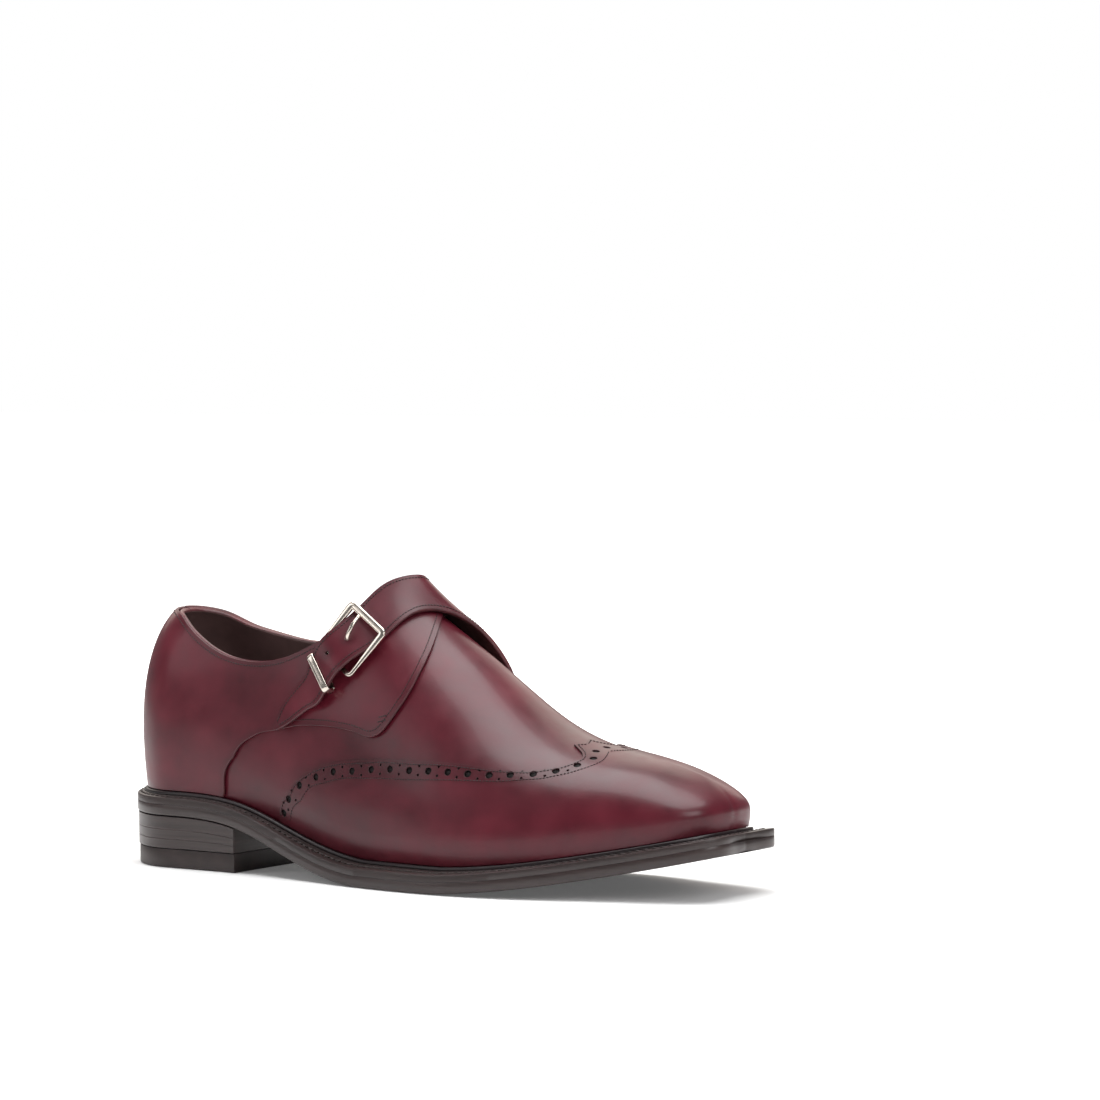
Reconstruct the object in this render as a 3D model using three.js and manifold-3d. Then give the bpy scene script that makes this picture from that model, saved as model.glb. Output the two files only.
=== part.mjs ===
// Monk strap shoe for the right foot, with a wing cap, one buckle and a raised welt all round.
// Millimetres. +X points to the toe, +Y to the inner (medial) side, -Y to the outer side with the
// buckle, +Z up. The shoe stands on z = 0 and its origin is the bottom centre of its box.
// The tables below measure x from the back of the heel; the last group moves it all to the origin.
import * as THREE from 'three';
import { mergeVertices } from 'three/addons/utils/BufferGeometryUtils.js';
import Module from 'manifold-3d';

const wasm = await Module();
wasm.setup();

// ---------------------------------------------------------------- driving dimensions
const CENTRE_X = 152.7;        // from the back of the heel to the middle of the 305 mm outsole
const CENTRE_Y = -3.9;        // the ball is wider on the outer side
const UPPER_WALL = 2.2;        // vamp leather and lining
const QUARTER_WALL = 1.5;
const STRAP_WALL = 2.0;
const GAP = 0.3;               // clearance between pieces that touch
const OUTSOLE_THICK = 4.7;
const SOLE_EDGE = 8;           // outsole and welt together
const RIB_TOP = 10.2;          // top of the raised rib, above the outsole's underside
const FEATHER_RISE = 9.5;      // where the upper's section starts, above the outsole's underside
const INSOLE_THICK = 3;
const INSOLE_EDGE_GAP = 0.6;
const TOP_LIFT_THICK = 8;
const HEEL_BREAST_X = 70;
const HEEL_TAPER = 0.8;        // how far the heel block draws in at its foot
const COLLAR_STEP = 0.8;       // the quarters stop this far under the upper's own edge
const TOE_FALL = 0.4;          // how steeply the crest falls forwards over the toe
const WIDEST_SHARE = 0.25;     // share of a section's run that lies under its widest point
const HALVINGS = 40;           // steps of a search by halving
const SAME_POINT = 1e-4;       // corners closer than this are one
const RUN_STEP = 1e-3;         // the step over which a slope of the body is taken

// ---------------------------------------------------------------- tables
// Ground clearance of the outsole: x, height. Negative heights press flat on the ground.
const GROUND = [
  [-5, 23.4], [0, 23], [40, 22.2], [70, 19.2], [95, 11.2], [118, 4], [140, 0.2], [155, -0.4],
  [175, -0.4], [190, 0.3], [215, 2.6], [245, 7], [275, 12.4], [304, 18.4], [312, 20.2],
];

// Sole outline: a ray leaves the spine at a heading (180 back, 90 sideways, 0 forward).
// x, heading, outer reach, inner reach
const SOLE = [
  [34, 180, 34, 34],
  [34, 150, 33.8, 33.8],
  [34, 120, 33, 33],
  [36, 90, 33, 33],
  [62, 90, 34.6, 33],
  [90, 90, 38.6, 30.5],
  [120, 90, 45.5, 30.5],
  [150, 90, 52.5, 35.5],
  [180, 90, 56.6, 43.5],
  [205, 90, 56.2, 48.5],
  [230, 90, 51.8, 48],
  [255, 90, 43.6, 41.8],
  [272, 90, 38.2, 37.2],
  [280, 66, 34.2, 34.2],
  [282, 42, 31, 30],
  [282, 20, 23.8, 23.4],
  [282, 0, 21.4, 21.4],
];

// Upper sections, one for each row of the sole outline: spine x, spine y, heading, outer reach and
// inner reach at the feather line, outer and inner bulge, height of the widest point over the
// feather, crest height, side fullness, top fullness
const UPPER = [
  [34, 0, 180, 27.5, 27.5, 1.6, 1.6, 26, 114, 2.3, 2.2],
  [34, 0, 150, 27.5, 27.5, 1.6, 1.6, 26, 114, 2.3, 2.2],
  [34, 0, 120, 27, 27, 1.6, 1.6, 26, 114, 2.3, 2.2],
  [36, 0, 90, 26.8, 26.8, 1.6, 1.6, 24, 116, 2.3, 2.2],
  [62, 0, 90, 27.6, 26.5, 1.6, 1.6, 20, 127, 2.2, 2],
  [90, 1, 90, 30.6, 25, 2.4, 2, 17, 133, 2.1, 1.9],
  [120, 2, 90, 36, 25, 3.2, 2.6, 15, 129, 2, 1.8],
  [150, 3, 90, 42.4, 28.5, 3.2, 2.6, 13, 110.5, 2, 1.75],
  [180, 3, 90, 46.8, 36, 2.6, 2.4, 12, 89.5, 2, 1.75],
  [205, 3, 90, 47.6, 41, 2, 2, 11, 70.5, 2.1, 1.8],
  [230, 2, 90, 43.8, 40.5, 1.6, 1.6, 10, 59.5, 2.2, 1.9],
  [252, 1, 90, 37.9, 36, 1.2, 1.2, 9, 54.9, 2.3, 2],
  [264, 0, 84, 33, 32, 1, 1, 8, 52.9, 2.3, 2.1],
  [272, 0, 62, 29, 28.6, 1, 1, 8, 51, 2.3, 2.1],
  [278, 0, 44, 22.4, 22, 1, 1, 8, 49.2, 2.3, 2.1],
  [282, 0, 24, 15.4, 15.2, 1, 1, 8, 47.9, 2.3, 2.1],
  [283, 0, 0, 13, 13, 1, 1, 8, 47.5, 2.3, 2.1],
];

// Top line of the upper, seen from the side: x, outer height, inner height
const COLLAR = [
  [-10, 109.8, 109.8], [22, 109.3, 109.3], [30, 107.4, 106.6], [37, 103.2, 103], [48, 96.9, 99.6],
  [60, 92.2, 97], [72, 90.2, 95.4], [84, 90.4, 96.2], [96, 93.3, 100.6], [108, 98.6, 107.4],
  [118, 104, 114.5], [127, 110.5, 119.5], [136, 118, 123.5], [145, 128, 130],
];

// Edges of the quarters, seen from the side, from the welt up the seam, along the flap, round its
// corner and up its front: x, height
const OUTER_FLAP = [
  [60.4, 20], [60.6, 33], [62.4, 42.6], [69.8, 52.1], [80.5, 59.2], [91, 61.6], [104, 64], [118, 64.7],
  [134, 63.2], [144, 61.2], [149, 63.4], [153.6, 69.5], [158, 78], [160, 87], [160, 95],
  [157.6, 102.4], [152.4, 110.4], [146, 124],
];
const INNER_FLAP = [
  [60.4, 20], [60.6, 33], [62.4, 42.6], [69.8, 52.1], [80.5, 59.2], [91, 61.6], [104, 64], [118, 65.4],
  [134, 65.6], [150, 64.6], [163, 65.4], [171, 69.4], [175.6, 77], [177, 85], [176, 92],
  [172, 99.6], [165, 107], [152, 124],
];

// The strap, from inside the inner quarter over the crest to its tip: for its rear and its front
// edge, x, girth (0 on the crest, -1 at the outer feather, +1 at the inner) and stand-off
const STRAP = [
  [112, 0.3, 2.5, 173, 0.36, 2.5],
  [120.4, 0.193, 3.6, 170.8, 0.22, 4.8],
  [131, 0.089, 6, 163.3, 0.141, 6.6],
  [140.5, 0, 9.6, 153.2, 0, 4.6],
  [133, -0.113, 6.2, 146, -0.149, 4.5],
  [127.2, -0.225, 4.4, 139.8, -0.285, 4.1],
  [121.3, -0.323, 7, 132, -0.371, 7.1],
  [115.2, -0.387, 9, 126.6, -0.424, 8.9],
  [111.4, -0.442, 8, 122.5, -0.461, 7.7],
  [107.9, -0.479, 6.4, 117.7, -0.508, 6.3],
  [100, -0.531, 4.9, 110.2, -0.541, 4.8],
  [94.6, -0.582, 4.5, 101.5, -0.585, 4.5],
  [92, -0.617, 4.4, 93.6, -0.62, 4.5],
];

// ---------------------------------------------------------------- small maths
function naturalSpline(keys, values) {
  // second derivatives of the natural cubic spline by the Thomas algorithm
  const last = keys.length - 1;
  const curve = new Array(last + 1).fill(0);
  const work = new Array(last + 1).fill(0);
  for (let i = 1; i < last; i++) {
    const share = (keys[i] - keys[i - 1]) / (keys[i + 1] - keys[i - 1]);
    const pivot = share * curve[i - 1] + 2;
    const rise = (values[i + 1] - values[i]) / (keys[i + 1] - keys[i]);
    const before = (values[i] - values[i - 1]) / (keys[i] - keys[i - 1]);
    curve[i] = (share - 1) / pivot;
    work[i] = (6 * (rise - before) / (keys[i + 1] - keys[i - 1]) - share * work[i - 1]) / pivot;
  }
  for (let i = last - 1; i > 0; i--) curve[i] = curve[i] * curve[i + 1] + work[i];
  curve[0] = 0;
  return (key) => {
    let i = 1;
    while (i < last && key > keys[i]) i++;
    const span = keys[i] - keys[i - 1];
    const a = (keys[i] - key) / span;
    const b = (key - keys[i - 1]) / span;
    const bend = (a ** 3 - a) * curve[i - 1] + (b ** 3 - b) * curve[i];
    return a * values[i - 1] + b * values[i] + bend * span * span / 6;
  };
}

function splineColumns(keys, rows) {
  const columns = rows[0].map((_, c) => naturalSpline(keys, rows.map((row) => row[c])));
  return (key) => columns.map((column) => column(key));
}

function runLengths(points) {
  const lengths = [0];
  for (let i = 1; i < points.length; i++) {
    lengths.push(lengths[i - 1] + points[i].distanceTo(points[i - 1]));
  }
  return lengths;
}

const radians = THREE.MathUtils.degToRad;
const groundSpline = naturalSpline(GROUND.map((row) => row[0]), GROUND.map((row) => row[1]));
const ground = (x) => Math.max(0, groundSpline(x));

// Both outlines share one run, from 0 at the back of the heel to 1 at the toe
const solePoints = SOLE.map(([x, heading, outer]) => new THREE.Vector2(
  x + outer * Math.cos(radians(heading)), outer * Math.sin(radians(heading))));
const soleLengths = runLengths(solePoints);
const STATIONS = soleLengths.map((length) => length / soleLengths[soleLengths.length - 1]);
const soleAt = splineColumns(STATIONS, SOLE);
const upperAt = splineColumns(STATIONS, UPPER);

function soleEdge(run, side, inset = 0) {
  const [x, heading, outer, inner] = soleAt(run);
  const reach = (side < 0 ? outer : inner) - inset;
  const angle = radians(heading);
  return new THREE.Vector2(x + reach * Math.cos(angle), side * reach * Math.sin(angle));
}

function feather(run, side, inset = 0) {
  const [x, y, heading, outer, inner] = upperAt(run);
  const reach = (side < 0 ? outer : inner) - inset;
  const angle = radians(heading);
  return new THREE.Vector2(x + reach * Math.cos(angle), y + side * reach * Math.sin(angle));
}

// ---------------------------------------------------------------- the upper's own surface
// rise runs from 0 at the feather line to 1 on the crest
function bodyPoint(run, side, rise) {
  const [x, y, heading, outer, inner, outerBulge, innerBulge, wide, crest, sideFull, topFull] =
    upperAt(run);
  const reach = side < 0 ? outer : inner;
  const bulge = side < 0 ? outerBulge : innerBulge;
  const angle = radians(heading);
  const base = ground(x + reach * Math.cos(angle)) + FEATHER_RISE;
  let radius;
  let height;
  if (rise < WIDEST_SHARE) {
    radius = reach + bulge * Math.sin(rise / WIDEST_SHARE * Math.PI / 2);
    height = base + wide * rise / WIDEST_SHARE;
  } else {
    const turn = (rise - WIDEST_SHARE) / (1 - WIDEST_SHARE) * Math.PI / 2;
    radius = (reach + bulge) * Math.max(0, Math.cos(turn)) ** (2 / sideFull);
    const peak = crest - TOE_FALL * radius * Math.max(0, Math.cos(angle));
    height = base + wide + (peak - base - wide) * Math.sin(turn) ** (2 / topFull);
  }
  if (rise >= 1) radius = 0;
  return new THREE.Vector3(
    x + radius * Math.cos(angle), y + side * radius * Math.sin(angle), height);
}

function bodyNormal(run, side, rise) {
  const low = Math.max(0, run - RUN_STEP);
  const high = Math.min(1, run + RUN_STEP);
  const along = bodyPoint(high, side, rise).sub(bodyPoint(low, side, rise));
  if (rise >= 1) {
    // on the crest both sides share one upright normal, square to the crest line
    return along.length() < 1e-6
      ? new THREE.Vector3(0, 0, 1)
      : new THREE.Vector3(-along.z, 0, along.x).normalize();
  }
  const up = bodyPoint(run, side, Math.min(1, rise + RUN_STEP)).sub(
    bodyPoint(run, side, Math.max(0, rise - RUN_STEP)));
  const normal = along.cross(up).normalize().multiplyScalar(-side);
  if (run <= 0 || run >= 1) normal.setY(0).normalize();
  return normal;
}

function onBody(run, side, rise, offset) {
  return bodyPoint(run, side, rise).addScaledVector(bodyNormal(run, side, rise), offset);
}

// The run at which the spine passes a given x, by halving
function runAt(x) {
  let low = 0;
  let high = 1;
  for (let i = 0; i < HALVINGS; i++) {
    const middle = (low + high) / 2;
    if (upperAt(middle)[0] < x) low = middle;
    else high = middle;
  }
  return (low + high) / 2;
}

// ---------------------------------------------------------------- solids
function geometryOf(triangles) {
  const positions = triangles.flat().flatMap((p) => [p.x, p.y, p.z]);
  const raw = new THREE.BufferGeometry();
  raw.setAttribute('position', new THREE.Float32BufferAttribute(positions, 3));
  return raw;
}

function solidOf(geometry) {
  const bare = geometry.index ? geometry.toNonIndexed() : geometry.clone();
  bare.deleteAttribute('normal');
  bare.deleteAttribute('uv');
  const merged = mergeVertices(bare, SAME_POINT);
  const index = merged.index.array;
  const kept = [];
  for (let i = 0; i < index.length; i += 3) {
    const [a, b, c] = [index[i], index[i + 1], index[i + 2]];
    if (a !== b && b !== c && c !== a) kept.push(a, b, c);
  }
  const build = (corners) => new wasm.Manifold(new wasm.Mesh({
    numProp: 3,
    vertProperties: new Float32Array(merged.attributes.position.array),
    triVerts: new Uint32Array(corners),
  }));
  const solid = build(kept);
  if (solid.volume() > 0) return solid;
  const turned = kept.map((_, k) => kept[k - k % 3 + (3 - k % 3) % 3]);
  return build(turned);
}

const quad = (a, b, c, d) => [[a, b, c], [a, c, d]];

// A closed skin over a grid of points that meets itself along its rows: the loop closes across
function loopSolid(loops, capped) {
  const triangles = [];
  const count = loops[0].length;
  const rings = capped ? loops.length - 1 : loops.length;
  for (let i = 0; i < rings; i++) {
    const here = loops[i];
    const next = loops[(i + 1) % loops.length];
    for (let j = 0; j < count; j++) {
      const k = (j + 1) % count;
      triangles.push(...quad(here[j], next[j], next[k], here[k]));
    }
  }
  if (capped) {
    for (const [loop, flip] of [[loops[0], false], [loops[loops.length - 1], true]]) {
      for (let j = 1; j < count - 1; j++) {
        const corner = [loop[0], loop[j], loop[j + 1]];
        triangles.push(flip ? corner.reverse() : corner);
      }
    }
  }
  return solidOf(geometryOf(triangles));
}

const BODY_RUNS = 42;
const BODY_RISES = 12;
const CROWDING = 14 * Math.PI; // sections stand closer at the heel, the middle and the toe
const easeEnds = (share) => share - Math.sin(4 * Math.PI * share) / CROWDING;

// The body grown by an offset, closed underneath at a level measured from the feather line
function bodySolid(offset, floor) {
  const rises = [];
  for (let j = 0; j <= BODY_RISES; j++) rises.push(j / BODY_RISES);
  const columns = { '-1': [], 1: [] };
  for (const side of [-1, 1]) {
    for (let i = 0; i <= BODY_RUNS; i++) {
      const run = easeEnds(i / BODY_RUNS);
      const column = rises.map((rise) => onBody(run, side, rise, offset));
      const foot = column[0].clone();
      foot.z = ground(foot.x) + FEATHER_RISE + floor;
      if (floor < 0) column.unshift(foot);
      else column[0].z = foot.z;
      columns[side].push(column);
    }
  }
  const [outer, inner] = [columns[-1], columns[1]];
  const seam = (a, b) => {
    a.add(b).multiplyScalar(0.5);
    b.copy(a);
  };
  const top = outer[0].length - 1;
  for (let i = 0; i <= BODY_RUNS; i++) seam(outer[i][top], inner[i][top]);
  for (const i of [0, BODY_RUNS]) {
    for (let j = 0; j <= top; j++) {
      seam(outer[i][j], inner[i][j]);
      outer[i][j].y = 0;
      inner[i][j].y = 0;
    }
  }
  const triangles = [];
  for (let i = 0; i < BODY_RUNS; i++) {
    for (let j = 0; j < top; j++) {
      triangles.push(...quad(outer[i][j], outer[i + 1][j], outer[i + 1][j + 1], outer[i][j + 1]));
      triangles.push(...quad(inner[i][j], inner[i][j + 1], inner[i + 1][j + 1], inner[i + 1][j]));
    }
    triangles.push(...quad(outer[i][0], inner[i][0], inner[i + 1][0], outer[i + 1][0]));
  }
  return solidOf(geometryOf(triangles));
}

// A flat outline seen from the side, drawn out from one y to another
function sidePrism(outline, fromY, toY) {
  const shape = new THREE.Shape(outline.map(([x, z]) => new THREE.Vector2(x, z)));
  const block = new THREE.ExtrudeGeometry(shape, { depth: toY - fromY, bevelEnabled: false });
  block.rotateX(Math.PI / 2);
  block.translate(0, toY, 0);
  return solidOf(block);
}

// A slab between the outer and the inner edge, from one height to another
function slabSolid(edge, low, high, runs) {
  const loops = [];
  for (const run of runs) {
    const outer = edge(run, -1);
    const inner = edge(run, 1);
    const corner = (point, height) => new THREE.Vector3(point.x, point.y, height(point.x));
    loops.push([corner(outer, low), corner(outer, high), corner(inner, high), corner(inner, low)]);
  }
  return loopSolid(loops, true);
}

function evenRuns(count, from = 0, to = 1) {
  return Array.from({ length: count + 1 }, (_, i) => from + (to - from) * easeEnds(i / count));
}

function smoothLine(points, steps) {
  const spline = new THREE.CatmullRomCurve3(
    points.map(([x, z]) => new THREE.Vector3(x, z, 0)), false, 'centripetal');
  return spline.getPoints(steps).map((p) => [p.x, p.y]);
}

// ---------------------------------------------------------------- the pieces
const HALF = 90;               // past either side of the shoe
const SKY = 190;               // past the top of the shoe
const BEHIND = -20;            // past the back of the heel
const PAST = 2;                // how far a cutter runs through what it cuts
const COLLAR_PITCH = 4.5;
const FLAP_STEPS = 44;

function collarLine(column, drop) {
  const height = naturalSpline(COLLAR.map((row) => row[0]), COLLAR.map((row) => row[column]));
  const line = [];
  for (let x = COLLAR[0][0]; x <= COLLAR[COLLAR.length - 1][0]; x += COLLAR_PITCH) {
    line.push([x, height(x) - drop]);
  }
  return line;
}

function collarCutter(column, drop, fromY, toY) {
  const line = collarLine(column, drop);
  const [endX] = line[line.length - 1];
  return sidePrism([...line, [endX, SKY], [COLLAR[0][0], SKY]], fromY, toY);
}

function makeUpper() {
  const below = GAP + OUTSOLE_THICK - FEATHER_RISE + GAP;
  return bodySolid(0, below)
    .subtract(bodySolid(-UPPER_WALL, below - PAST))
    .subtract(collarCutter(1, 0, -HALF, 0))
    .subtract(collarCutter(2, 0, 0, HALF));
}

function makeQuarter(side, flap, column) {
  const lift = RIB_TOP + 2 * GAP - FEATHER_RISE;
  const skin = bodySolid(GAP + QUARTER_WALL, lift).subtract(bodySolid(GAP, lift - PAST));
  const edge = smoothLine(flap, FLAP_STEPS);
  const outline = [...edge, [BEHIND, edge[FLAP_STEPS][1]], [BEHIND, edge[0][1]]];
  const keep = side < 0 ? [-HALF, -GAP / 2] : [GAP / 2, HALF];
  return skin
    .intersect(sidePrism(outline, ...keep))
    .subtract(collarCutter(column, COLLAR_STEP, -HALF, HALF));
}

const STRAP_RUNS = 40;
const STRAP_ACROSS = 5;

function strapRows() {
  const centres = STRAP.map(([rearX, rearGirth, , frontX, frontGirth]) => {
    const girth = (rearGirth + frontGirth) / 2;
    return onBody(runAt((rearX + frontX) / 2), Math.sign(girth) || 1, 1 - Math.abs(girth), 0);
  });
  const lengths = runLengths(centres);
  const at = splineColumns(lengths, STRAP);
  return (share) => at(share * lengths[lengths.length - 1]);
}

const strapAt = strapRows();

// A point of the strap: share along it, share across it, and how far under its outer face
function strapPoint(along, across, depth) {
  const [rearX, rearGirth, rearOff, frontX, frontGirth, frontOff] = strapAt(along);
  const mix = (a, b) => a + (b - a) * across;
  const girth = mix(rearGirth, frontGirth);
  return onBody(
    runAt(mix(rearX, frontX)), girth < 0 ? -1 : 1, 1 - Math.abs(girth), mix(rearOff, frontOff) - depth);
}

function makeStrap() {
  const loops = [];
  for (let i = 0; i <= STRAP_RUNS; i++) {
    const loop = [];
    for (let j = 0; j <= STRAP_ACROSS; j++) {
      loop.push(strapPoint(i / STRAP_RUNS, j / STRAP_ACROSS, 0));
    }
    for (let j = STRAP_ACROSS; j >= 0; j--) {
      loop.push(strapPoint(i / STRAP_RUNS, j / STRAP_ACROSS, STRAP_WALL));
    }
    loops.push(loop);
  }
  return loopSolid(loops, true);
}

// ---- buckle: its corners lie outside the flap, the top bar over the strap, the hinge bar under it
const FRAME_TOP_REAR = new THREE.Vector3(125.4, -23.9, 115.5);
const FRAME_TOP_FRONT = new THREE.Vector3(142.9, -26.5, 104);
const FRAME_FOOT_FRONT = new THREE.Vector3(131.3, -33.5, 85.8);
const FRAME_FOOT_REAR = new THREE.Vector3(113.4, -30.9, 97.3);
const FRAME_BAR = 2.4;
const FRAME_THICK = 1.8;
const PRONG_RADIUS = 0.9;
const HOLE_RADIUS = 1.6;
const OUTSIDE_CORNER = 1.6;    // corner radii of the frame and the keeper
const INSIDE_CORNER = 0.5;
const KEEPER_WIDTH = 20.6;
const KEEPER_DEPTH = 6.9;
const KEEPER_REACH = 1.4;      // how far the keeper stands out over the strap
const KEEPER_WALL = 1.1;
const KEEPER_BAND = 3.2;
const KEEPER_ALONG = 0.72;     // share of the strap's run
const KEEPER_SKEW = 0.018;     // its two ends stand this share either side of that

// The prong's centre line in the frame's own axes: x, y, z
const PRONG = [
  [1.3, -9.75, -0.3], [0.5, -5.4, -0.7], [-0.1, -2, 0.1], [-0.7, 1, 3], [-1.6, 4.8, 3.5],
  [-3.2, 9.75, 1.8],
];

// The frame's own axes: x across the strap, y from the hinge bar to the top bar, z outwards
function frameBasis() {
  const corners = [FRAME_TOP_REAR, FRAME_TOP_FRONT, FRAME_FOOT_FRONT, FRAME_FOOT_REAR];
  const centre = corners.reduce((sum, corner) => sum.add(corner), new THREE.Vector3());
  centre.multiplyScalar(1 / corners.length);
  const across = FRAME_TOP_FRONT.clone().sub(FRAME_TOP_REAR);
  const up = FRAME_TOP_REAR.clone().sub(FRAME_FOOT_REAR);
  return { centre, across, up };
}

function rectanglePath(Kind, width, height, radius) {
  const path = new Kind();
  const [w, h, r] = [width / 2, height / 2, radius];
  path.moveTo(-w + r, -h);
  path.lineTo(w - r, -h);
  path.absarc(w - r, -h + r, r, -Math.PI / 2, 0);
  path.lineTo(w, h - r);
  path.absarc(w - r, h - r, r, 0, Math.PI / 2);
  path.lineTo(-w + r, h);
  path.absarc(-w + r, h - r, r, Math.PI / 2, Math.PI);
  path.lineTo(-w, -h + r);
  path.absarc(-w + r, -h + r, r, Math.PI, Math.PI * 1.5);
  return path;
}

// A rectangular ring in the plane of the given axes
function ringSolid(basis, width, height, wall, thick) {
  const shape = rectanglePath(THREE.Shape, width, height, OUTSIDE_CORNER);
  shape.holes.push(rectanglePath(THREE.Path, width - 2 * wall, height - 2 * wall, INSIDE_CORNER));
  const ring = new THREE.ExtrudeGeometry(shape, { depth: thick, bevelEnabled: false, curveSegments: 3 });
  ring.translate(0, 0, -thick / 2);
  ring.applyMatrix4(axesMatrix(basis));
  return solidOf(ring);
}

function axesMatrix({ centre, across, up }) {
  const xAxis = across.clone().normalize();
  const zAxis = xAxis.clone().cross(up).normalize();
  const yAxis = zAxis.clone().cross(xAxis);
  return new THREE.Matrix4().makeBasis(xAxis, yAxis, zAxis).setPosition(centre);
}

function makeFrame() {
  const basis = frameBasis();
  const width = basis.across.length() + FRAME_BAR;
  const height = basis.up.length() + FRAME_BAR;
  return ringSolid(basis, width, height, FRAME_BAR, FRAME_THICK);
}

// The prong leaves the hinge bar, comes up through the strap and lies on the top bar
function prongPath() {
  const place = axesMatrix(frameBasis());
  return PRONG.map(([x, y, z]) => new THREE.Vector3(x, y, z).applyMatrix4(place));
}

function tubeSolid(points, radius, sides, steps) {
  const circle = new THREE.Shape();
  circle.absarc(0, 0, radius, 0, Math.PI * 2);
  const tube = new THREE.ExtrudeGeometry(circle, {
    steps,
    curveSegments: sides / 2,
    bevelEnabled: false,
    extrudePath: new THREE.CatmullRomCurve3(points),
  });
  return solidOf(tube);
}

const TUBE_SIDES = 8;
const makeProng = () => tubeSolid(prongPath(), PRONG_RADIUS, TUBE_SIDES, 12);
const makeProngHole = () => tubeSolid(prongPath().slice(1, 5), HOLE_RADIUS, TUBE_SIDES, 8);

function makeKeeper() {
  const face = strapPoint(KEEPER_ALONG, 0.5, 0);
  const inwards = strapPoint(KEEPER_ALONG, 0.5, STRAP_WALL).sub(face).normalize();
  const across = strapPoint(KEEPER_ALONG + KEEPER_SKEW, 1, 0).sub(
    strapPoint(KEEPER_ALONG - KEEPER_SKEW, 0, 0));
  const centre = face.addScaledVector(inwards, KEEPER_DEPTH / 2 - KEEPER_REACH);
  const basis = { centre, across, up: inwards.negate() };
  return ringSolid(basis, KEEPER_WIDTH, KEEPER_DEPTH, KEEPER_WALL, KEEPER_BAND);
}

// ---- sole
const WELT_LOW = OUTSOLE_THICK + GAP;

// The welt's section: share of the way from the upper to the sole edge, extra reach, height
const WELT_SECTION = [
  [0, GAP + 0.1, WELT_LOW],
  [1, 0, WELT_LOW],
  [1, 0, SOLE_EDGE - 0.6],
  [1, -0.6, SOLE_EDGE],
  [0, 3.1, SOLE_EDGE + 0.7],
  [0, 3, RIB_TOP - 0.5],
  [0, 2.2, RIB_TOP],
  [0, 1, RIB_TOP],
  [0, GAP + 0.2, RIB_TOP - 0.9],
];

function weltLoop(run, side) {
  const inside = feather(run, side);
  const outside = soleEdge(run, side);
  const way = outside.clone().sub(inside).normalize();
  return WELT_SECTION.map(([share, reach, height]) => {
    const point = inside.clone().lerp(outside, share).addScaledVector(way, reach);
    return new THREE.Vector3(point.x, point.y, ground(point.x) + height);
  });
}

function makeWelt() {
  const runs = evenRuns(BODY_RUNS);
  const outer = runs.map((run) => weltLoop(run, -1));
  const inner = runs.slice(1, -1).map((run) => weltLoop(run, 1)).reverse();
  return loopSolid([...outer, ...inner], false);
}

const OUTSOLE_RUNS = 60;
const makeOutsole = () => slabSolid(
  (run, side) => soleEdge(run, side),
  ground,
  (x) => ground(x) + OUTSOLE_THICK,
  evenRuns(OUTSOLE_RUNS));

const makeInsole = () => slabSolid(
  (run, side) => feather(run, side, UPPER_WALL + INSOLE_EDGE_GAP),
  (x) => ground(x) + OUTSOLE_THICK + 2 * GAP,
  (x) => ground(x) + OUTSOLE_THICK + 2 * GAP + INSOLE_THICK,
  evenRuns(BODY_RUNS));

function breastRun() {
  let low = 0;
  let high = 0.5;
  for (let i = 0; i < HALVINGS; i++) {
    const middle = (low + high) / 2;
    if (soleEdge(middle, -1).x < HEEL_BREAST_X) low = middle;
    else high = middle;
  }
  return low;
}

const HEEL_RUNS = 24;

function heelSlab(low, high, inset) {
  const end = breastRun();
  const runs = Array.from({ length: HEEL_RUNS + 1 }, (_, i) => end * i / HEEL_RUNS);
  return slabSolid((run, side) => soleEdge(run, side, inset), low, high, runs);
}

const makeTopLift = () => heelSlab(() => 0, () => TOP_LIFT_THICK, HEEL_TAPER);
const makeHeelBlock = () => heelSlab(
  () => TOP_LIFT_THICK + GAP, (x) => ground(x) - GAP, HEEL_TAPER / 2);

// ---------------------------------------------------------------- the scene graph
const shoe = new THREE.Group();

function addPiece(name, solid, colour, roughness, metalness) {
  const { vertProperties, triVerts } = solid.getMesh();
  const geometry = new THREE.BufferGeometry();
  geometry.setAttribute('position', new THREE.BufferAttribute(vertProperties, 3));
  geometry.setIndex(new THREE.BufferAttribute(triVerts, 1));
  geometry.computeVertexNormals();
  const material = new THREE.MeshStandardMaterial({ color: colour, roughness, metalness });
  const mesh = new THREE.Mesh(geometry, material);
  mesh.name = name;
  shoe.add(mesh);
}

const innerQuarter = makeQuarter(1, INNER_FLAP, 2);
const strap = makeStrap().subtract(makeProngHole());

addPiece('upper', makeUpper(), 0x5c1a26, 0.35, 0);
addPiece('lateral_quarter', makeQuarter(-1, OUTER_FLAP, 1), 0x641c28, 0.35, 0);
addPiece('medial_quarter_strap', innerQuarter.add(strap), 0x6a1e2a, 0.33, 0);
addPiece('buckle_frame', makeFrame(), 0xd8d2c8, 0.18, 1);
addPiece('buckle_prong', makeProng(), 0xd8d2c8, 0.2, 1);
addPiece('strap_keeper', makeKeeper(), 0xd8d2c8, 0.2, 1);
addPiece('insole', makeInsole(), 0x4a3a34, 0.7, 0);
addPiece('welt', makeWelt(), 0x2c2224, 0.5, 0);
addPiece('outsole', makeOutsole(), 0x3a2f2e, 0.5, 0);
addPiece('heel_block', makeHeelBlock(), 0x3d3231, 0.5, 0);
addPiece('top_lift', makeTopLift(), 0x2a2423, 0.7, 0);

shoe.position.set(-CENTRE_X, -CENTRE_Y, 0);

export default shoe;
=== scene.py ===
import math

import bmesh
import bpy
import numpy as np
from mathutils import Matrix, Vector, geometry, kdtree


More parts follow.
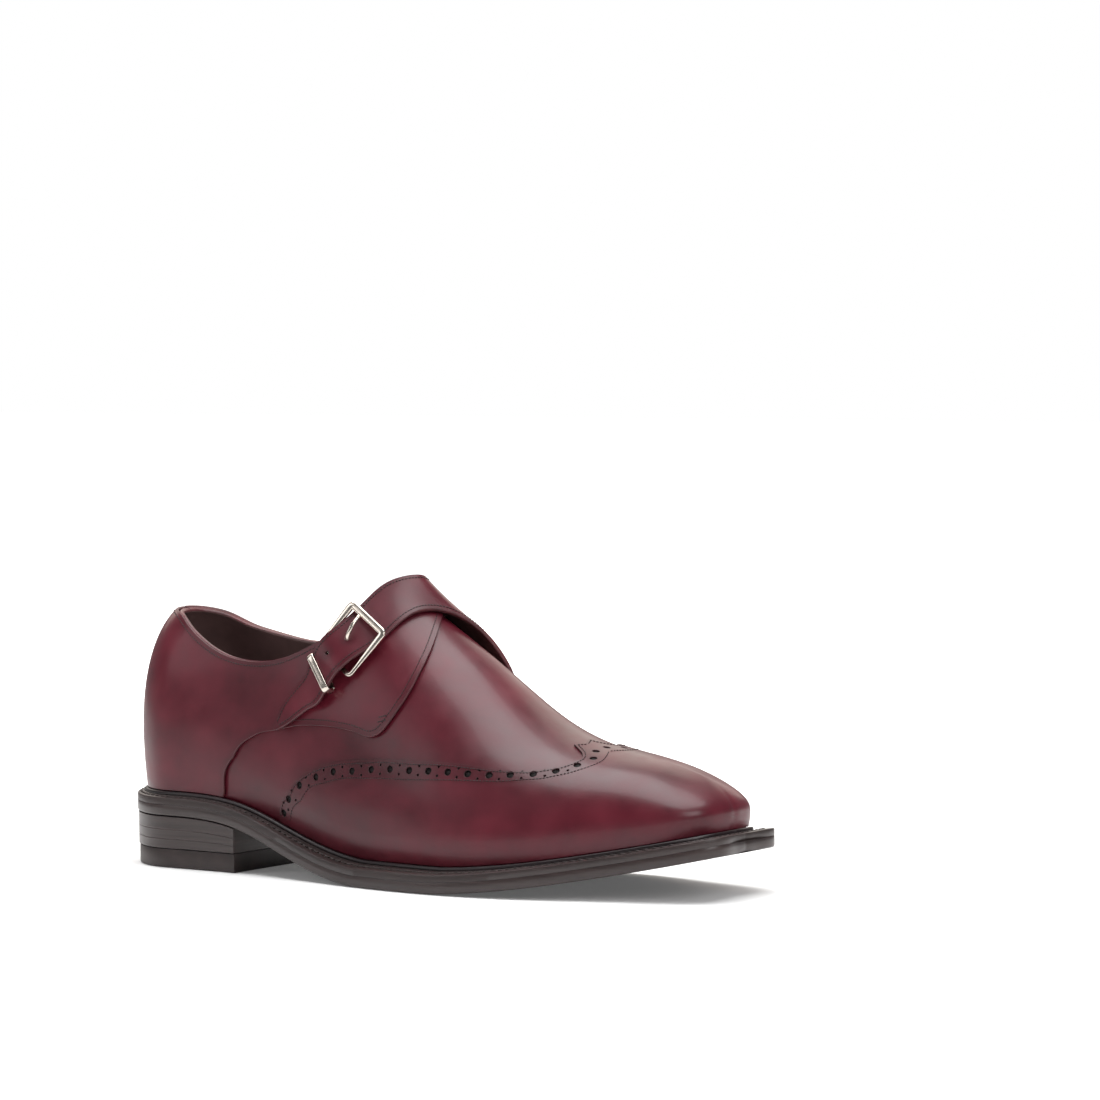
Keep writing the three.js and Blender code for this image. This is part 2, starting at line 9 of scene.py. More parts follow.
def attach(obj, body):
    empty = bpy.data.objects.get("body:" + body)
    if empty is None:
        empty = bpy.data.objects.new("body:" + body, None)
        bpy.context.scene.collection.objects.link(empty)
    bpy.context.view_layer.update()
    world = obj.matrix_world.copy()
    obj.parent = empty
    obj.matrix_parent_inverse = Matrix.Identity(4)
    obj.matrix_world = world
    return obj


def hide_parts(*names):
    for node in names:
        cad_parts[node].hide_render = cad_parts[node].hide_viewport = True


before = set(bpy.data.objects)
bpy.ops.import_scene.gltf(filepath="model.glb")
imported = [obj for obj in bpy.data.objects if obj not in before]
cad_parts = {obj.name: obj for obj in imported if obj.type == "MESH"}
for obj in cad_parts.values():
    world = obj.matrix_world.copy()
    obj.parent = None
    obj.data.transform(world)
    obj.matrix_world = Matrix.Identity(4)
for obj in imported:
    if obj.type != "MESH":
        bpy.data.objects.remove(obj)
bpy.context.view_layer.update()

bl_info = {
    "name": "Monk strap shoe",
    "version": (1, 0, 0),
    "blender": (4, 5, 0),
    "location": "3D View > Sidebar > Shoe",
    "description": "Builds the leather, metal and stage of a wing cap monk strap shoe",
    "category": "Object",
}

# ---------------------------------------------------------------- the last, in millimetres
# The tables measure x from the back of the heel; place() moves points to the row frame in metres.
CENTRE = np.array([152.7, -3.9, 0.0])
METRES = 0.001
UPPER_WALL = 2.2
QUARTER_WALL = 1.5
STRAP_WALL = 2.0
CAP_WALL = 1.0
GAP = 0.3
OUTSOLE_THICK = 4.7
FEATHER_RISE = 9.5
FOOT_LIFT = 1.3
TOP_LIFT_THICK = 8.0
HEEL_BREAST_X = 70.0
TOE_FALL = 0.4
WIDEST_SHARE = 0.25
COLLAR_STEP = 0.8
QUARTER_FACE = GAP + QUARTER_WALL

# x, height of the outsole's underside
GROUND = [
    (-5, 23.4), (0, 23), (40, 22.2), (70, 19.2), (95, 11.2), (118, 4), (140, 0.2), (155, -0.4),
    (175, -0.4), (190, 0.3), (215, 2.6), (245, 7), (275, 12.4), (304, 18.4), (312, 20.2),
]

# spine x, heading, outer reach, inner reach of the sole's edge
SOLE = [
    (34, 180, 34, 34), (34, 150, 33.8, 33.8), (34, 120, 33, 33), (36, 90, 33, 33),
    (62, 90, 34.6, 33), (90, 90, 38.6, 30.5), (120, 90, 45.5, 30.5), (150, 90, 52.5, 35.5),
    (180, 90, 56.6, 43.5), (205, 90, 56.2, 48.5), (230, 90, 51.8, 48), (255, 90, 43.6, 41.8),
    (272, 90, 38.2, 37.2), (280, 66, 34.2, 34.2), (282, 42, 31, 30), (282, 20, 23.8, 23.4),
    (282, 0, 21.4, 21.4),
]

# spine x, spine y, heading, outer reach, inner reach, outer bulge, inner bulge, height of the
# widest point, crest height, side fullness, top fullness
UPPER = [
    (34, 0, 180, 27.5, 27.5, 1.6, 1.6, 26, 114, 2.3, 2.2),
    (34, 0, 150, 27.5, 27.5, 1.6, 1.6, 26, 114, 2.3, 2.2),
    (34, 0, 120, 27, 27, 1.6, 1.6, 26, 114, 2.3, 2.2),
    (36, 0, 90, 26.8, 26.8, 1.6, 1.6, 24, 116, 2.3, 2.2),
    (62, 0, 90, 27.6, 26.5, 1.6, 1.6, 20, 127, 2.2, 2),
    (90, 1, 90, 30.6, 25, 2.4, 2, 17, 133, 2.1, 1.9),
    (120, 2, 90, 36, 25, 3.2, 2.6, 15, 129, 2, 1.8),
    (150, 3, 90, 42.4, 28.5, 3.2, 2.6, 13, 110.5, 2, 1.75),
    (180, 3, 90, 46.8, 36, 2.6, 2.4, 12, 89.5, 2, 1.75),
    (205, 3, 90, 47.6, 41, 2, 2, 11, 70.5, 2.1, 1.8),
    (230, 2, 90, 43.8, 40.5, 1.6, 1.6, 10, 59.5, 2.2, 1.9),
    (252, 1, 90, 37.9, 36, 1.2, 1.2, 9, 54.9, 2.3, 2),
    (264, 0, 84, 33, 32, 1, 1, 8, 52.9, 2.3, 2.1),
    (272, 0, 62, 29, 28.6, 1, 1, 8, 51, 2.3, 2.1),
    (278, 0, 44, 22.4, 22, 1, 1, 8, 49.2, 2.3, 2.1),
    (282, 0, 24, 15.4, 15.2, 1, 1, 8, 47.9, 2.3, 2.1),
    (283, 0, 0, 13, 13, 1, 1, 8, 47.5, 2.3, 2.1),
]

# x, outer height, inner height of the top line
COLLAR = [
    (-10, 109.8, 109.8), (22, 109.3, 109.3), (30, 107.4, 106.6), (37, 103.2, 103),
    (48, 96.9, 99.6), (60, 92.2, 97), (72, 90.2, 95.4), (84, 90.4, 96.2), (96, 93.3, 100.6),
    (108, 98.6, 107.4), (118, 104, 113), (127, 110.5, 117), (136, 118, 121),
    (145, 128, 130),
]

# Edges across the upper: x, girth (0 on the crest, 1 at the feather line of that side)
OUTER_FLAP = [
    (60.6, 0.967), (62.4, 0.844), (69.8, 0.724), (80.5, 0.66), (91, 0.625), (104, 0.587),
    (118, 0.557), (134, 0.53), (144, 0.519), (149, 0.496), (153.6, 0.447), (158, 0.374),
    (160, 0.292), (160, 0.208), (157.6, 0.118), (152.4, 0.004),
]
INNER_FLAP = [
    (60.6, 0.967), (62.4, 0.844), (69.8, 0.724), (80.5, 0.66), (91, 0.625), (104, 0.587),
    (118, 0.553), (134, 0.517), (150, 0.486), (163, 0.449), (167, 0.432), (171, 0.4), (173, 0.36),
]
WING_SIDE = [
    (92, 0.944), (94.6, 0.838), (101.6, 0.722), (105.8, 0.696), (111.3, 0.669), (125.1, 0.62),
    (149, 0.563), (170, 0.525), (190.5, 0.472), (208, 0.425), (220.7, 0.384), (226.3, 0.353),
    (231.7, 0.316), (235.2, 0.269), (237, 0.216), (236, 0.187), (234.3, 0.164), (232.3, 0.148),
    (230.5, 0.136), (227.8, 0.12),
]
WING_NOTCH = (230.4, 0.075)
WING_INNER_ROW = [
    (98.3, 0.935), (101.8, 0.82), (109.9, 0.715), (121.4, 0.67), (133.8, 0.634), (149, 0.607),
    (171, 0.573), (191.7, 0.524), (210.4, 0.472), (220, 0.437), (227.2, 0.411), (231.8, 0.384),
    (236.3, 0.353), (239.8, 0.319), (243, 0.277), (244.8, 0.239), (245.7, 0.196), (245, 0.15),
    (243.4, 0.105), (242.2, 0.075),
]
WING_HOLES = [
    (95.1, 0.907), (98.8, 0.791), (105.3, 0.714), (115, 0.673), (125.1, 0.639), (135.7, 0.615),
    (146.3, 0.591), (156.4, 0.572), (166.6, 0.556), (176.3, 0.536), (185.7, 0.513), (195, 0.49),
    (204.4, 0.463), (213.2, 0.432), (222.6, 0.397), (231.2, 0.35), (238, 0.277), (241.3, 0.19),
    (238.2, 0.115),
]
PEAK_AXIS = 0.075  # the cap's point lies this far to the outer side of the crest

# The strap: rear x, rear girth, rear stand-off, front x, front girth, front stand-off
STRAP = [
    (112, 0.3, 2.5, 173, 0.36, 2.5), (122, 0.193, 3.4, 170.8, 0.22, 4.8),
    (134, 0.089, 5.2, 163.3, 0.141, 6.4), (138.5, 0, 9.5, 153.2, 0, 4.7),
    (132.4, -0.113, 6.9, 146, -0.149, 4.5), (127.2, -0.225, 4.4, 139.8, -0.285, 4.1),
    (121.3, -0.323, 7, 132, -0.371, 7.1), (115.2, -0.387, 9, 126.6, -0.424, 8.9),
    (111.4, -0.442, 8, 122.5, -0.461, 7.7), (107.9, -0.479, 6.4, 117.7, -0.508, 6.3),
    (100, -0.531, 4.9, 110.2, -0.541, 4.8), (94.6, -0.582, 4.5, 101.5, -0.585, 4.5),
    (92, -0.617, 4.4, 93.6, -0.62, 4.5),
]

# Buckle corners: top rear, top front, foot front, foot rear
BUCKLE_CORNERS = np.array([
    (125.4, -23.9, 115.5), (142.9, -26.5, 104), (131.3, -33.5, 85.8), (113.4, -30.9, 97.3),
])
PRONG = [
    (1.3, -9.75, -0.3), (0.5, -5.4, -0.7), (-0.1, -2, 0.1), (-0.7, 1, 3), (-1.6, 4.8, 3.5),
    (-3.2, 9.75, 1.8),
]
PRONG_RADII = [(0, 1.05), (0.7, 0.95), (1, 0.7)]  # share of its length, radius
HINGE_HALF = 1.7  # half the length of the barrel that turns on the hinge bar
HINGE_RADIUS = 1.5
KEEPER_ALONG = 0.72  # share of the strap's run
KEEPER_SKEW = 0.018  # its two ends stand this share either side of that
KEEPER_REACH = 1.4  # how far it stands out over the strap
KEEPER_SPAN = 17.6  # across the strap, between the middles of its short sides
KEEPER_DEPTH = 6.7
KEEPER_WALL = 1.1
KEEPER_BAND = 3.2  # its length along the strap
STRAP_HOLES = [(127.3, -30, 100.9), (120.3, -33.7, 95)]  # the prong's own, then the free one
STRAP_HOLE_RADIUS = 1.15
ROOT_REAR = 112.0  # the strap leaves the inner quarter along a line that starts at this x
ROOT_LENGTH = 61.0
ROOT_GIRTH = 0.3  # girth at the line's rear end
ROOT_DROP = 0.06  # how much further down its front end lies
ROOT_POINTS = 48  # both sheets have this many points on the line, so that they join
CLOSED_CREST = 141.0  # from this x forward the upper is closed over its crest
LINING_SEAM_X = -0.064  # where the lining changes, in metres from the frame's origin


def place(points):
    return (np.asarray(points, float) - CENTRE) * METRES


def unit(vectors):
    length = np.linalg.norm(vectors, axis=-1, keepdims=True)
    return vectors / np.maximum(length, 1e-12)


def natural(keys, rows):
    """The natural cubic spline through the rows, as a function of one or many keys."""
    keys = np.asarray(keys, float)
    rows = np.asarray(rows, float)
    span = np.diff(keys)
    last = len(keys) - 1
    system = np.eye(last + 1)
    bend = np.zeros(rows.shape)
    for i in range(1, last):
        system[i, i - 1 : i + 2] = span[i - 1], 2 * (span[i - 1] + span[i]), span[i]
        bend[i] = 6 * (
            (rows[i + 1] - rows[i]) / span[i] - (rows[i] - rows[i - 1]) / span[i - 1]
        )
    curve = np.linalg.solve(system, bend)

    def at(key):
        key = np.asarray(key, float)
        i = np.clip(np.searchsorted(keys, key), 1, last)
        width = span[i - 1]
        a = (keys[i] - key) / width
        b = (key - keys[i - 1]) / width
        if rows.ndim > 1:
            a, b, width = a[..., None], b[..., None], width[..., None]
        pull = (a**3 - a) * curve[i - 1] + (b**3 - b) * curve[i]
        return a * rows[i - 1] + b * rows[i] + pull * width**2 / 6

    return at


def run_lengths(points):
    steps = np.linalg.norm(np.diff(points, axis=0), axis=1)
    return np.concatenate([[0.0], np.cumsum(steps)])


def smooth(share):
    share = np.clip(share, 0, 1)
    return share * share * (3 - 2 * share)


ground_curve = natural(*np.array(GROUND, float).T)
collar_curve = natural(np.array(COLLAR)[:, 0], np.array(COLLAR)[:, 1:])


def ground(x):
    return np.maximum(0, ground_curve(x))


def sole_stations():
    table = np.array(SOLE, float)
    angle = np.radians(table[:, 1])
    edge = np.stack([table[:, 0] + table[:, 2] * np.cos(angle), table[:, 2] * np.sin(angle)], 1)
    return run_lengths(edge)


STATION_LENGTHS = sole_stations()
RUN_LENGTH = STATION_LENGTHS[-1]
STATIONS = STATION_LENGTHS / RUN_LENGTH
sole_at = natural(STATIONS, SOLE)
upper_at = natural(STATIONS, UPPER)
FINE_RUNS = np.linspace(0, 1, 6001)
SHELL_RUNS = 221
FINE_X = np.maximum.accumulate(upper_at(FINE_RUNS)[:, 0])


def run_at(x):
    return np.interp(x, FINE_X, FINE_RUNS)


def x_at(run):
    return np.interp(run, FINE_RUNS, FINE_X)


def crowded_runs(count):
    """Runs from heel to toe, closer together at both ends and in the middle."""
    shares = np.linspace(0, 1, count)
    return shares - np.sin(4 * math.pi * shares) / (14 * math.pi)


def edge_points(run, side, inset, row):
    """Plan points at the sole edge or the feather line, drawn in by inset."""
    if row is sole_at:
        x, heading, outer, inner = np.moveaxis(row(run), -1, 0)
        y = 0
    else:
        x, y, heading, outer, inner = np.moveaxis(row(run)[..., :5], -1, 0)
    reach = np.where(side < 0, outer, inner) - inset
    angle = np.radians(heading)
    return np.stack([x + reach * np.cos(angle), y + side * reach * np.sin(angle)], -1)


def skin(run, girth):
    """A point of the upper's outer face. Girth is below 0 on the outer side."""
    run = np.clip(run, 0, 1)
    run, girth = np.broadcast_arrays(run, girth)
    columns = np.moveaxis(upper_at(run), -1, 0)
    x, y, heading, outer, inner, outer_bulge, inner_bulge, wide, crest, side_full, top_full = columns
    side = np.where(girth < 0, -1.0, 1.0)
    reach = np.where(side < 0, outer, inner)
    bulge = np.where(side < 0, outer_bulge, inner_bulge)
    angle = np.radians(heading)
    forward = np.cos(angle)
    base = ground(x + reach * forward) + FEATHER_RISE
    rise = 1 - np.abs(girth)
    low_share = np.clip(rise / WIDEST_SHARE, 0, 1)
    turn = np.clip((rise - WIDEST_SHARE) / (1 - WIDEST_SHARE), 0, 1) * math.pi / 2
    high_radius = (reach + bulge) * np.maximum(0, np.cos(turn)) ** (2 / side_full)
    radius = np.where(
        rise < WIDEST_SHARE, reach + bulge * np.sin(low_share * math.pi / 2), high_radius)
    radius = np.where(rise >= 1, 0, radius)
    peak = crest - TOE_FALL * radius * np.maximum(0, forward)
    high = base + wide + (peak - base - wide) * np.sin(turn) ** (2 / top_full)
    height = np.where(rise < WIDEST_SHARE, base + wide * rise / WIDEST_SHARE, high)
    return np.stack([x + radius * forward, y + side * radius * np.sin(angle), height], -1)


STEP = 1e-3


def skin_normal(run, girth):
    run, girth = np.broadcast_arrays(np.clip(run, 0, 1), girth)
    along = skin(np.minimum(1, run + STEP), girth) - skin(np.maximum(0, run - STEP), girth)
    low = np.where(girth > 0, np.maximum(0, girth - STEP), np.maximum(-1, girth - STEP))
    high = np.where(girth < 0, np.minimum(0, girth + STEP), np.minimum(1, girth + STEP))
    normal = np.cross(along, skin(run, high) - skin(run, low))
    crest = np.stack([-along[..., 2], np.zeros(run.shape), along[..., 0]], -1)
    normal = np.where((np.abs(girth) < 1e-9)[..., None], crest, normal)
    ends = (run <= 0) | (run >= 1)
    normal[..., 1] = np.where(ends, 0, normal[..., 1])
    return unit(normal)


# Soft undulations that a worn-in last leaves: side, x, height, length, width, depth
HOLLOWS = [
    (-1, 118, 80, 16, 12, 0.5), (-1, 46, 62, 18, 14, -0.35), (-1, 172, 62, 26, 9, 0.35),
    (-1, 214, 34, 26, 8, 0.3), (-1, 150, 34, 30, 7, -0.3), (1, 120, 82, 18, 12, 0.45),
    (1, 48, 60, 18, 14, -0.35), (1, 176, 60, 26, 9, 0.35), (1, 216, 34, 26, 8, 0.3),
    (-1, 82, 70, 14, 18, 0.3), (1, 84, 74, 14, 18, 0.3),
]


def on_body(run, girth, offset):
    """A point that stands off the upper's outer face."""
    point = skin(run, girth)
    hollow = np.zeros(point.shape[:-1])
    for side, x, height, length, width, depth in HOLLOWS:
        reach = ((point[..., 0] - x) / length) ** 2 + ((point[..., 2] - height) / width) ** 2
        blend = smooth(0.5 + side * point[..., 1] / 16)
        hollow = hollow + depth * np.exp(-reach) * blend
    return point + skin_normal(run, girth) * np.asarray(offset - hollow)[..., None]


# ---------------------------------------------------------------- charts and leather sheets
GIRTH_LENGTH = 110.0
BEFORE_TOE = RUN_LENGTH * (1 - 1e-9)  # the normal is levelled at the very end of the run


def chart(rows, side=1):
    """Rows of x and girth as points of the flat chart, in about millimetres."""
    rows = np.asarray(rows, float)
    return np.stack([run_at(rows[:, 0]) * RUN_LENGTH, side * rows[:, 1] * GIRTH_LENGTH], 1)


def curve_through(points, pitch=0.8):
    """A smooth line through the points, by centripetal spans, at an even pitch."""
    points = np.asarray(points, float)
    padded = np.concatenate([[2 * points[0] - points[1]], points, [2 * points[-1] - points[-2]]])
    spans = []
    for a, b, c, d in zip(padded, padded[1:], padded[2:], padded[3:]):
        t1 = max(np.linalg.norm(b - a), 1e-6) ** 0.5
        t2 = t1 + max(np.linalg.norm(c - b), 1e-6) ** 0.5
        t3 = t2 + max(np.linalg.norm(d - c), 1e-6) ** 0.5
        t = np.linspace(t1, t2, 24)[:-1, None]
        ab = (t1 - t) / t1 * a + t / t1 * b
        bc = (t2 - t) / (t2 - t1) * b + (t - t1) / (t2 - t1) * c
        cd = (t3 - t) / (t3 - t2) * c + (t - t2) / (t3 - t2) * d
        abc = (t2 - t) / t2 * ab + t / t2 * bc
        bcd = (t3 - t) / (t3 - t1) * bc + (t - t1) / (t3 - t1) * cd
        spans.append((t2 - t) / (t2 - t1) * abc + (t - t1) / (t2 - t1) * bcd)
    return even(np.concatenate(spans + [points[-1:]]), pitch)


def even(points, pitch):
    lengths = run_lengths(points)
    count = max(2, int(round(lengths[-1] / pitch)) + 1)
    marks = np.linspace(0, lengths[-1], count)
    return np.stack([np.interp(marks, lengths, column) for column in points.T], 1)


def body_chart(face, wall):
    """Turns chart points into row-frame points; share 0 is the outer face and 1 the inner."""

    def at(points, share=0.0):
        run, girth = points[:, 0] / RUN_LENGTH, points[:, 1] / GIRTH_LENGTH
        outer = face(run, girth) if callable(face) else face
        return place(on_body(run, girth, outer - share * wall))

    return at


def tangents(at, points):
    nudge = 0.05
    across = np.array([nudge, 0])
    over = np.array([0, nudge])
    ahead = points + across
    ahead[:, 0] = np.minimum(ahead[:, 0], BEFORE_TOE)
    along = (at(ahead) - at(points - across)) / (2 * nudge)
    up = (at(points + over) - at(points - over)) / (2 * nudge)
    return along, up, unit(np.cross(along, up))


def shift(at, points, directions):
    """Moves chart points by row-frame vectors that lie in the surface."""
    along, up, _ = tangents(at, points)
    aa, bb = (along * along).sum(1), (up * up).sum(1)
    ab = (along * up).sum(1)
    da, db = (along * directions).sum(1), (up * directions).sum(1)
    det = np.maximum(aa * bb - ab * ab, 1e-18)
    return points + np.stack([(da * bb - db * ab) / det, (db * aa - da * ab) / det], 1)


def inside_line(at, points, distance):
    """The line that runs beside a chart line, on its left, at a distance in millimetres."""
    spots = at(points)
    way = unit(np.gradient(spots, axis=0))
    _, _, normal = tangents(at, points)
    left = unit(np.cross(normal, way))
    moved = shift(at, points, left * distance * METRES)
    places = at(moved)
    gaps = np.array([np.linalg.norm(spots - spot, axis=1).min() for spot in places])
    return moved[gaps > 0.86 * abs(distance) * METRES]


def disc_loop(at, centre, radius, sides):
    points = np.repeat(np.asarray(centre, float)[None], sides, 0)
    along, _, normal = tangents(at, points)
    first = unit(along)
    second = np.cross(normal, first)
    angle = np.linspace(0, 2 * math.pi, sides, endpoint=False)[:, None]
    return shift(at, points, (np.cos(angle) * first + np.sin(angle) * second) * radius * METRES)


def in_polygon(points, polygon):
    x, y = points[:, 0:1], points[:, 1:2]
    a, b = polygon, np.roll(polygon, -1, axis=0)
    crossing = (a[:, 1] > y) != (b[:, 1] > y)
    drop = np.where(np.abs(b[:, 1] - a[:, 1]) < 1e-12, 1e-12, b[:, 1] - a[:, 1])
    where = a[:, 0] + (y - a[:, 1]) * (b[:, 0] - a[:, 0]) / drop
    return np.count_nonzero(crossing & (x < where), axis=1) % 2 == 1


def nearest(points, others):
    found = np.empty(len(points))
    for start in range(0, len(points), 1500):
        block = points[start : start + 1500, None] - others[None]
        found[start : start + 1500] = np.sqrt((block**2).sum(-1)).min(1)
    return found


def triangulate(outline, holes, pitch):
    """Triangles over a flat outline with holes, on a staggered lattice."""
    low, high = outline.min(0), outline.max(0)
    rows = np.arange(low[1] + pitch / 2, high[1], pitch * 0.87)
    lattice = []
    for i, v in enumerate(rows):
        u = np.arange(low[0] + pitch / 2 * (i % 2), high[0], pitch)
        lattice.append(np.stack([u, np.full(len(u), v)], 1))
    free = np.concatenate(lattice)
    keep = in_polygon(free, outline)
    for hole in holes:
        keep &= ~in_polygon(free, hole)
    free = free[keep]
    loops = [outline, *holes]
    free = free[nearest(free, np.concatenate(loops)) > 0.55 * pitch]
    edges = []
    start = 0
    for loop in loops:
        edges += [(start + i, start + (i + 1) % len(loop)) for i in range(len(loop))]
        start += len(loop)
    points = np.concatenate([*loops, free])
    made = geometry.delaunay_2d_cdt([Vector(p) for p in points], edges, [], 0, 1e-6, False)
    flat = np.array([tuple(v) for v in made[0]])
    corners = np.array([tuple(f) for f in made[2]])
    middle = flat[corners].mean(1)
    keep = in_polygon(middle, outline)
    for hole in holes:
        keep &= ~in_polygon(middle, hole)
    corners = corners[keep]
    a, b, c = flat[corners[:, 0]], flat[corners[:, 1]], flat[corners[:, 2]]
    area = (b - a)[:, 0] * (c - a)[:, 1] - (b - a)[:, 1] * (c - a)[:, 0]
    corners = corners[np.abs(area) > 1e-7]
    area = area[np.abs(area) > 1e-7]
    corners[area < 0] = corners[area < 0][:, ::-1]
    used = np.unique(corners)
    renumber = np.zeros(len(flat), int)
    renumber[used] = np.arange(len(used))
    return flat[used], renumber[corners]


# Rings of a cut leather edge: share of the wall, share of the swell, turn of the normal
EDGE_RINGS = [(0.12, 0.62, 50), (0.5, 1.0, 0), (0.88, 0.62, -50)]
SEAM_REACH = 4e-6  # seam points this near in metres are made one


class Sheet:
    """Vertices, faces, normals, faces' slots and the distance from a cut edge, to be joined."""

    def __init__(self):
        self.points, self.normals, self.cut, self.seam = [], [], [], []
        self.faces, self.slots = [], []
        self.count = 0

    def add(self, points, normals, cut, seam):
        start = self.count
        self.points.append(points)
        self.normals.append(normals)
        self.cut.append(cut)
        self.seam.append(seam)
        self.count += len(points)
        return start

    def lay(self, at, outline, holes, pitch, swell, plain, seam):
        """One sheet of leather with a rounded cut edge. Plain and seam say, for chart points,
        where the edge isn't swollen and where another sheet joins it."""
        flat, corners = triangulate(outline, holes, pitch)
        top, bottom = at(flat, 0.0), at(flat, 1.0)
        normal = tangents(at, flat)[2]
        directed = np.concatenate([corners[:, [0, 1]], corners[:, [1, 2]], corners[:, [2, 0]]])
        known = set(map(tuple, directed.tolist()))
        rim = [(a, b) for a, b in known if (b, a) not in known]
        after = dict(rim)
        before = {b: a for a, b in rim}
        members = np.array(sorted(set(after) & set(before)))
        is_seam = seam(flat)
        is_plain = plain(flat) | is_seam
        way = unit(
            top[[after[m] for m in members]] - top[[before[m] for m in members]])
        outward = unit(np.cross(way, normal[members]))
        cut_points = top[members][~is_plain[members]]
        cut = nearest(top, cut_points) / METRES if len(cut_points) else np.full(len(top), 50.0)
        first = self.add(top, normal, cut, is_seam)
        second = self.add(bottom, -normal, cut, is_seam)
        self.faces += (corners + first).tolist()
        self.slots += [0] * len(corners)
        self.faces += (corners[:, ::-1] + second).tolist()
        self.slots += [2] * len(corners)
        order = {m: i for i, m in enumerate(members.tolist())}
        width = np.where(is_plain[members], 0.0, swell * METRES)[:, None]
        levels = [first + members]
        for share, size, turn in EDGE_RINGS:
            ring = top[members] * (1 - share) + bottom[members] * share + outward * width * size
            lean = math.radians(turn)
            ring_normal = unit(outward * math.cos(lean) + normal[members] * math.sin(lean))
            start = self.add(
                ring, ring_normal, np.zeros(len(members)), is_seam[members])
            levels.append(start + np.arange(len(members)))
        levels.append(second + members)
        for a, b in rim:
            if is_seam[a] and is_seam[b]:
                continue
            i, j = order[a], order[b]
            for high, low in zip(levels, levels[1:]):
                self.faces.append([int(high[j]), int(high[i]), int(low[i]), int(low[j])])
                self.slots.append(1)

    def build(self, name, materials):
        points, normals = np.concatenate(self.points), np.concatenate(self.normals)
        cut, seam = np.concatenate(self.cut), np.concatenate(self.seam)
        target = np.arange(len(points))
        joined = np.flatnonzero(seam)
        tree = kdtree.KDTree(len(joined))
        for i in joined:
            tree.insert(points[i], int(i))
        tree.balance()
        for i in joined:
            group = [k for _, k, _ in tree.find_range(points[i], SEAM_REACH)]
            target[i] = min(group)
        summed = np.zeros_like(normals)
        np.add.at(summed, target, normals)
        used = np.unique(target)
        renumber = np.zeros(len(points), int)
        renumber[used] = np.arange(len(used))
        faces, slots = [], []
        for face, slot in zip(self.faces, self.slots):
            corners = [int(renumber[target[k]]) for k in face]
            corners = [c for i, c in enumerate(corners) if c != corners[i - 1]]
            if len(set(corners)) > 2:
                faces.append(corners)
                slots.append(slot)
        obj = mesh_object(name, points[used], faces, materials, slots)
        attribute(obj, "cut", cut[used])
        obj.data.normals_split_custom_set_from_vertices(unit(summed[used]).tolist())
        return obj


def mesh_object(name, points, faces, materials, slots=None):
    mesh = bpy.data.meshes.new(name)
    mesh.from_pydata([tuple(p) for p in points], [], faces)
    for material in materials:
        mesh.materials.append(material)
    if slots is not None:
        mesh.polygons.foreach_set("material_index", np.asarray(slots, np.int32))
    mesh.polygons.foreach_set("use_smooth", np.ones(len(mesh.polygons), bool))
    mesh.update()
    obj = bpy.data.objects.new(name, mesh)
    bpy.context.scene.collection.objects.link(obj)
    return obj


def attribute(obj, name, values):
    made = obj.data.attributes.new(name, "FLOAT", "POINT")
    made.data.foreach_set("value", np.asarray(values, np.float32))


def finish_piece(obj, slot, *nodes):
    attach(obj, "root")
    if nodes:
        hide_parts(*nodes)


def nowhere(points):
    return np.zeros(len(points), bool)


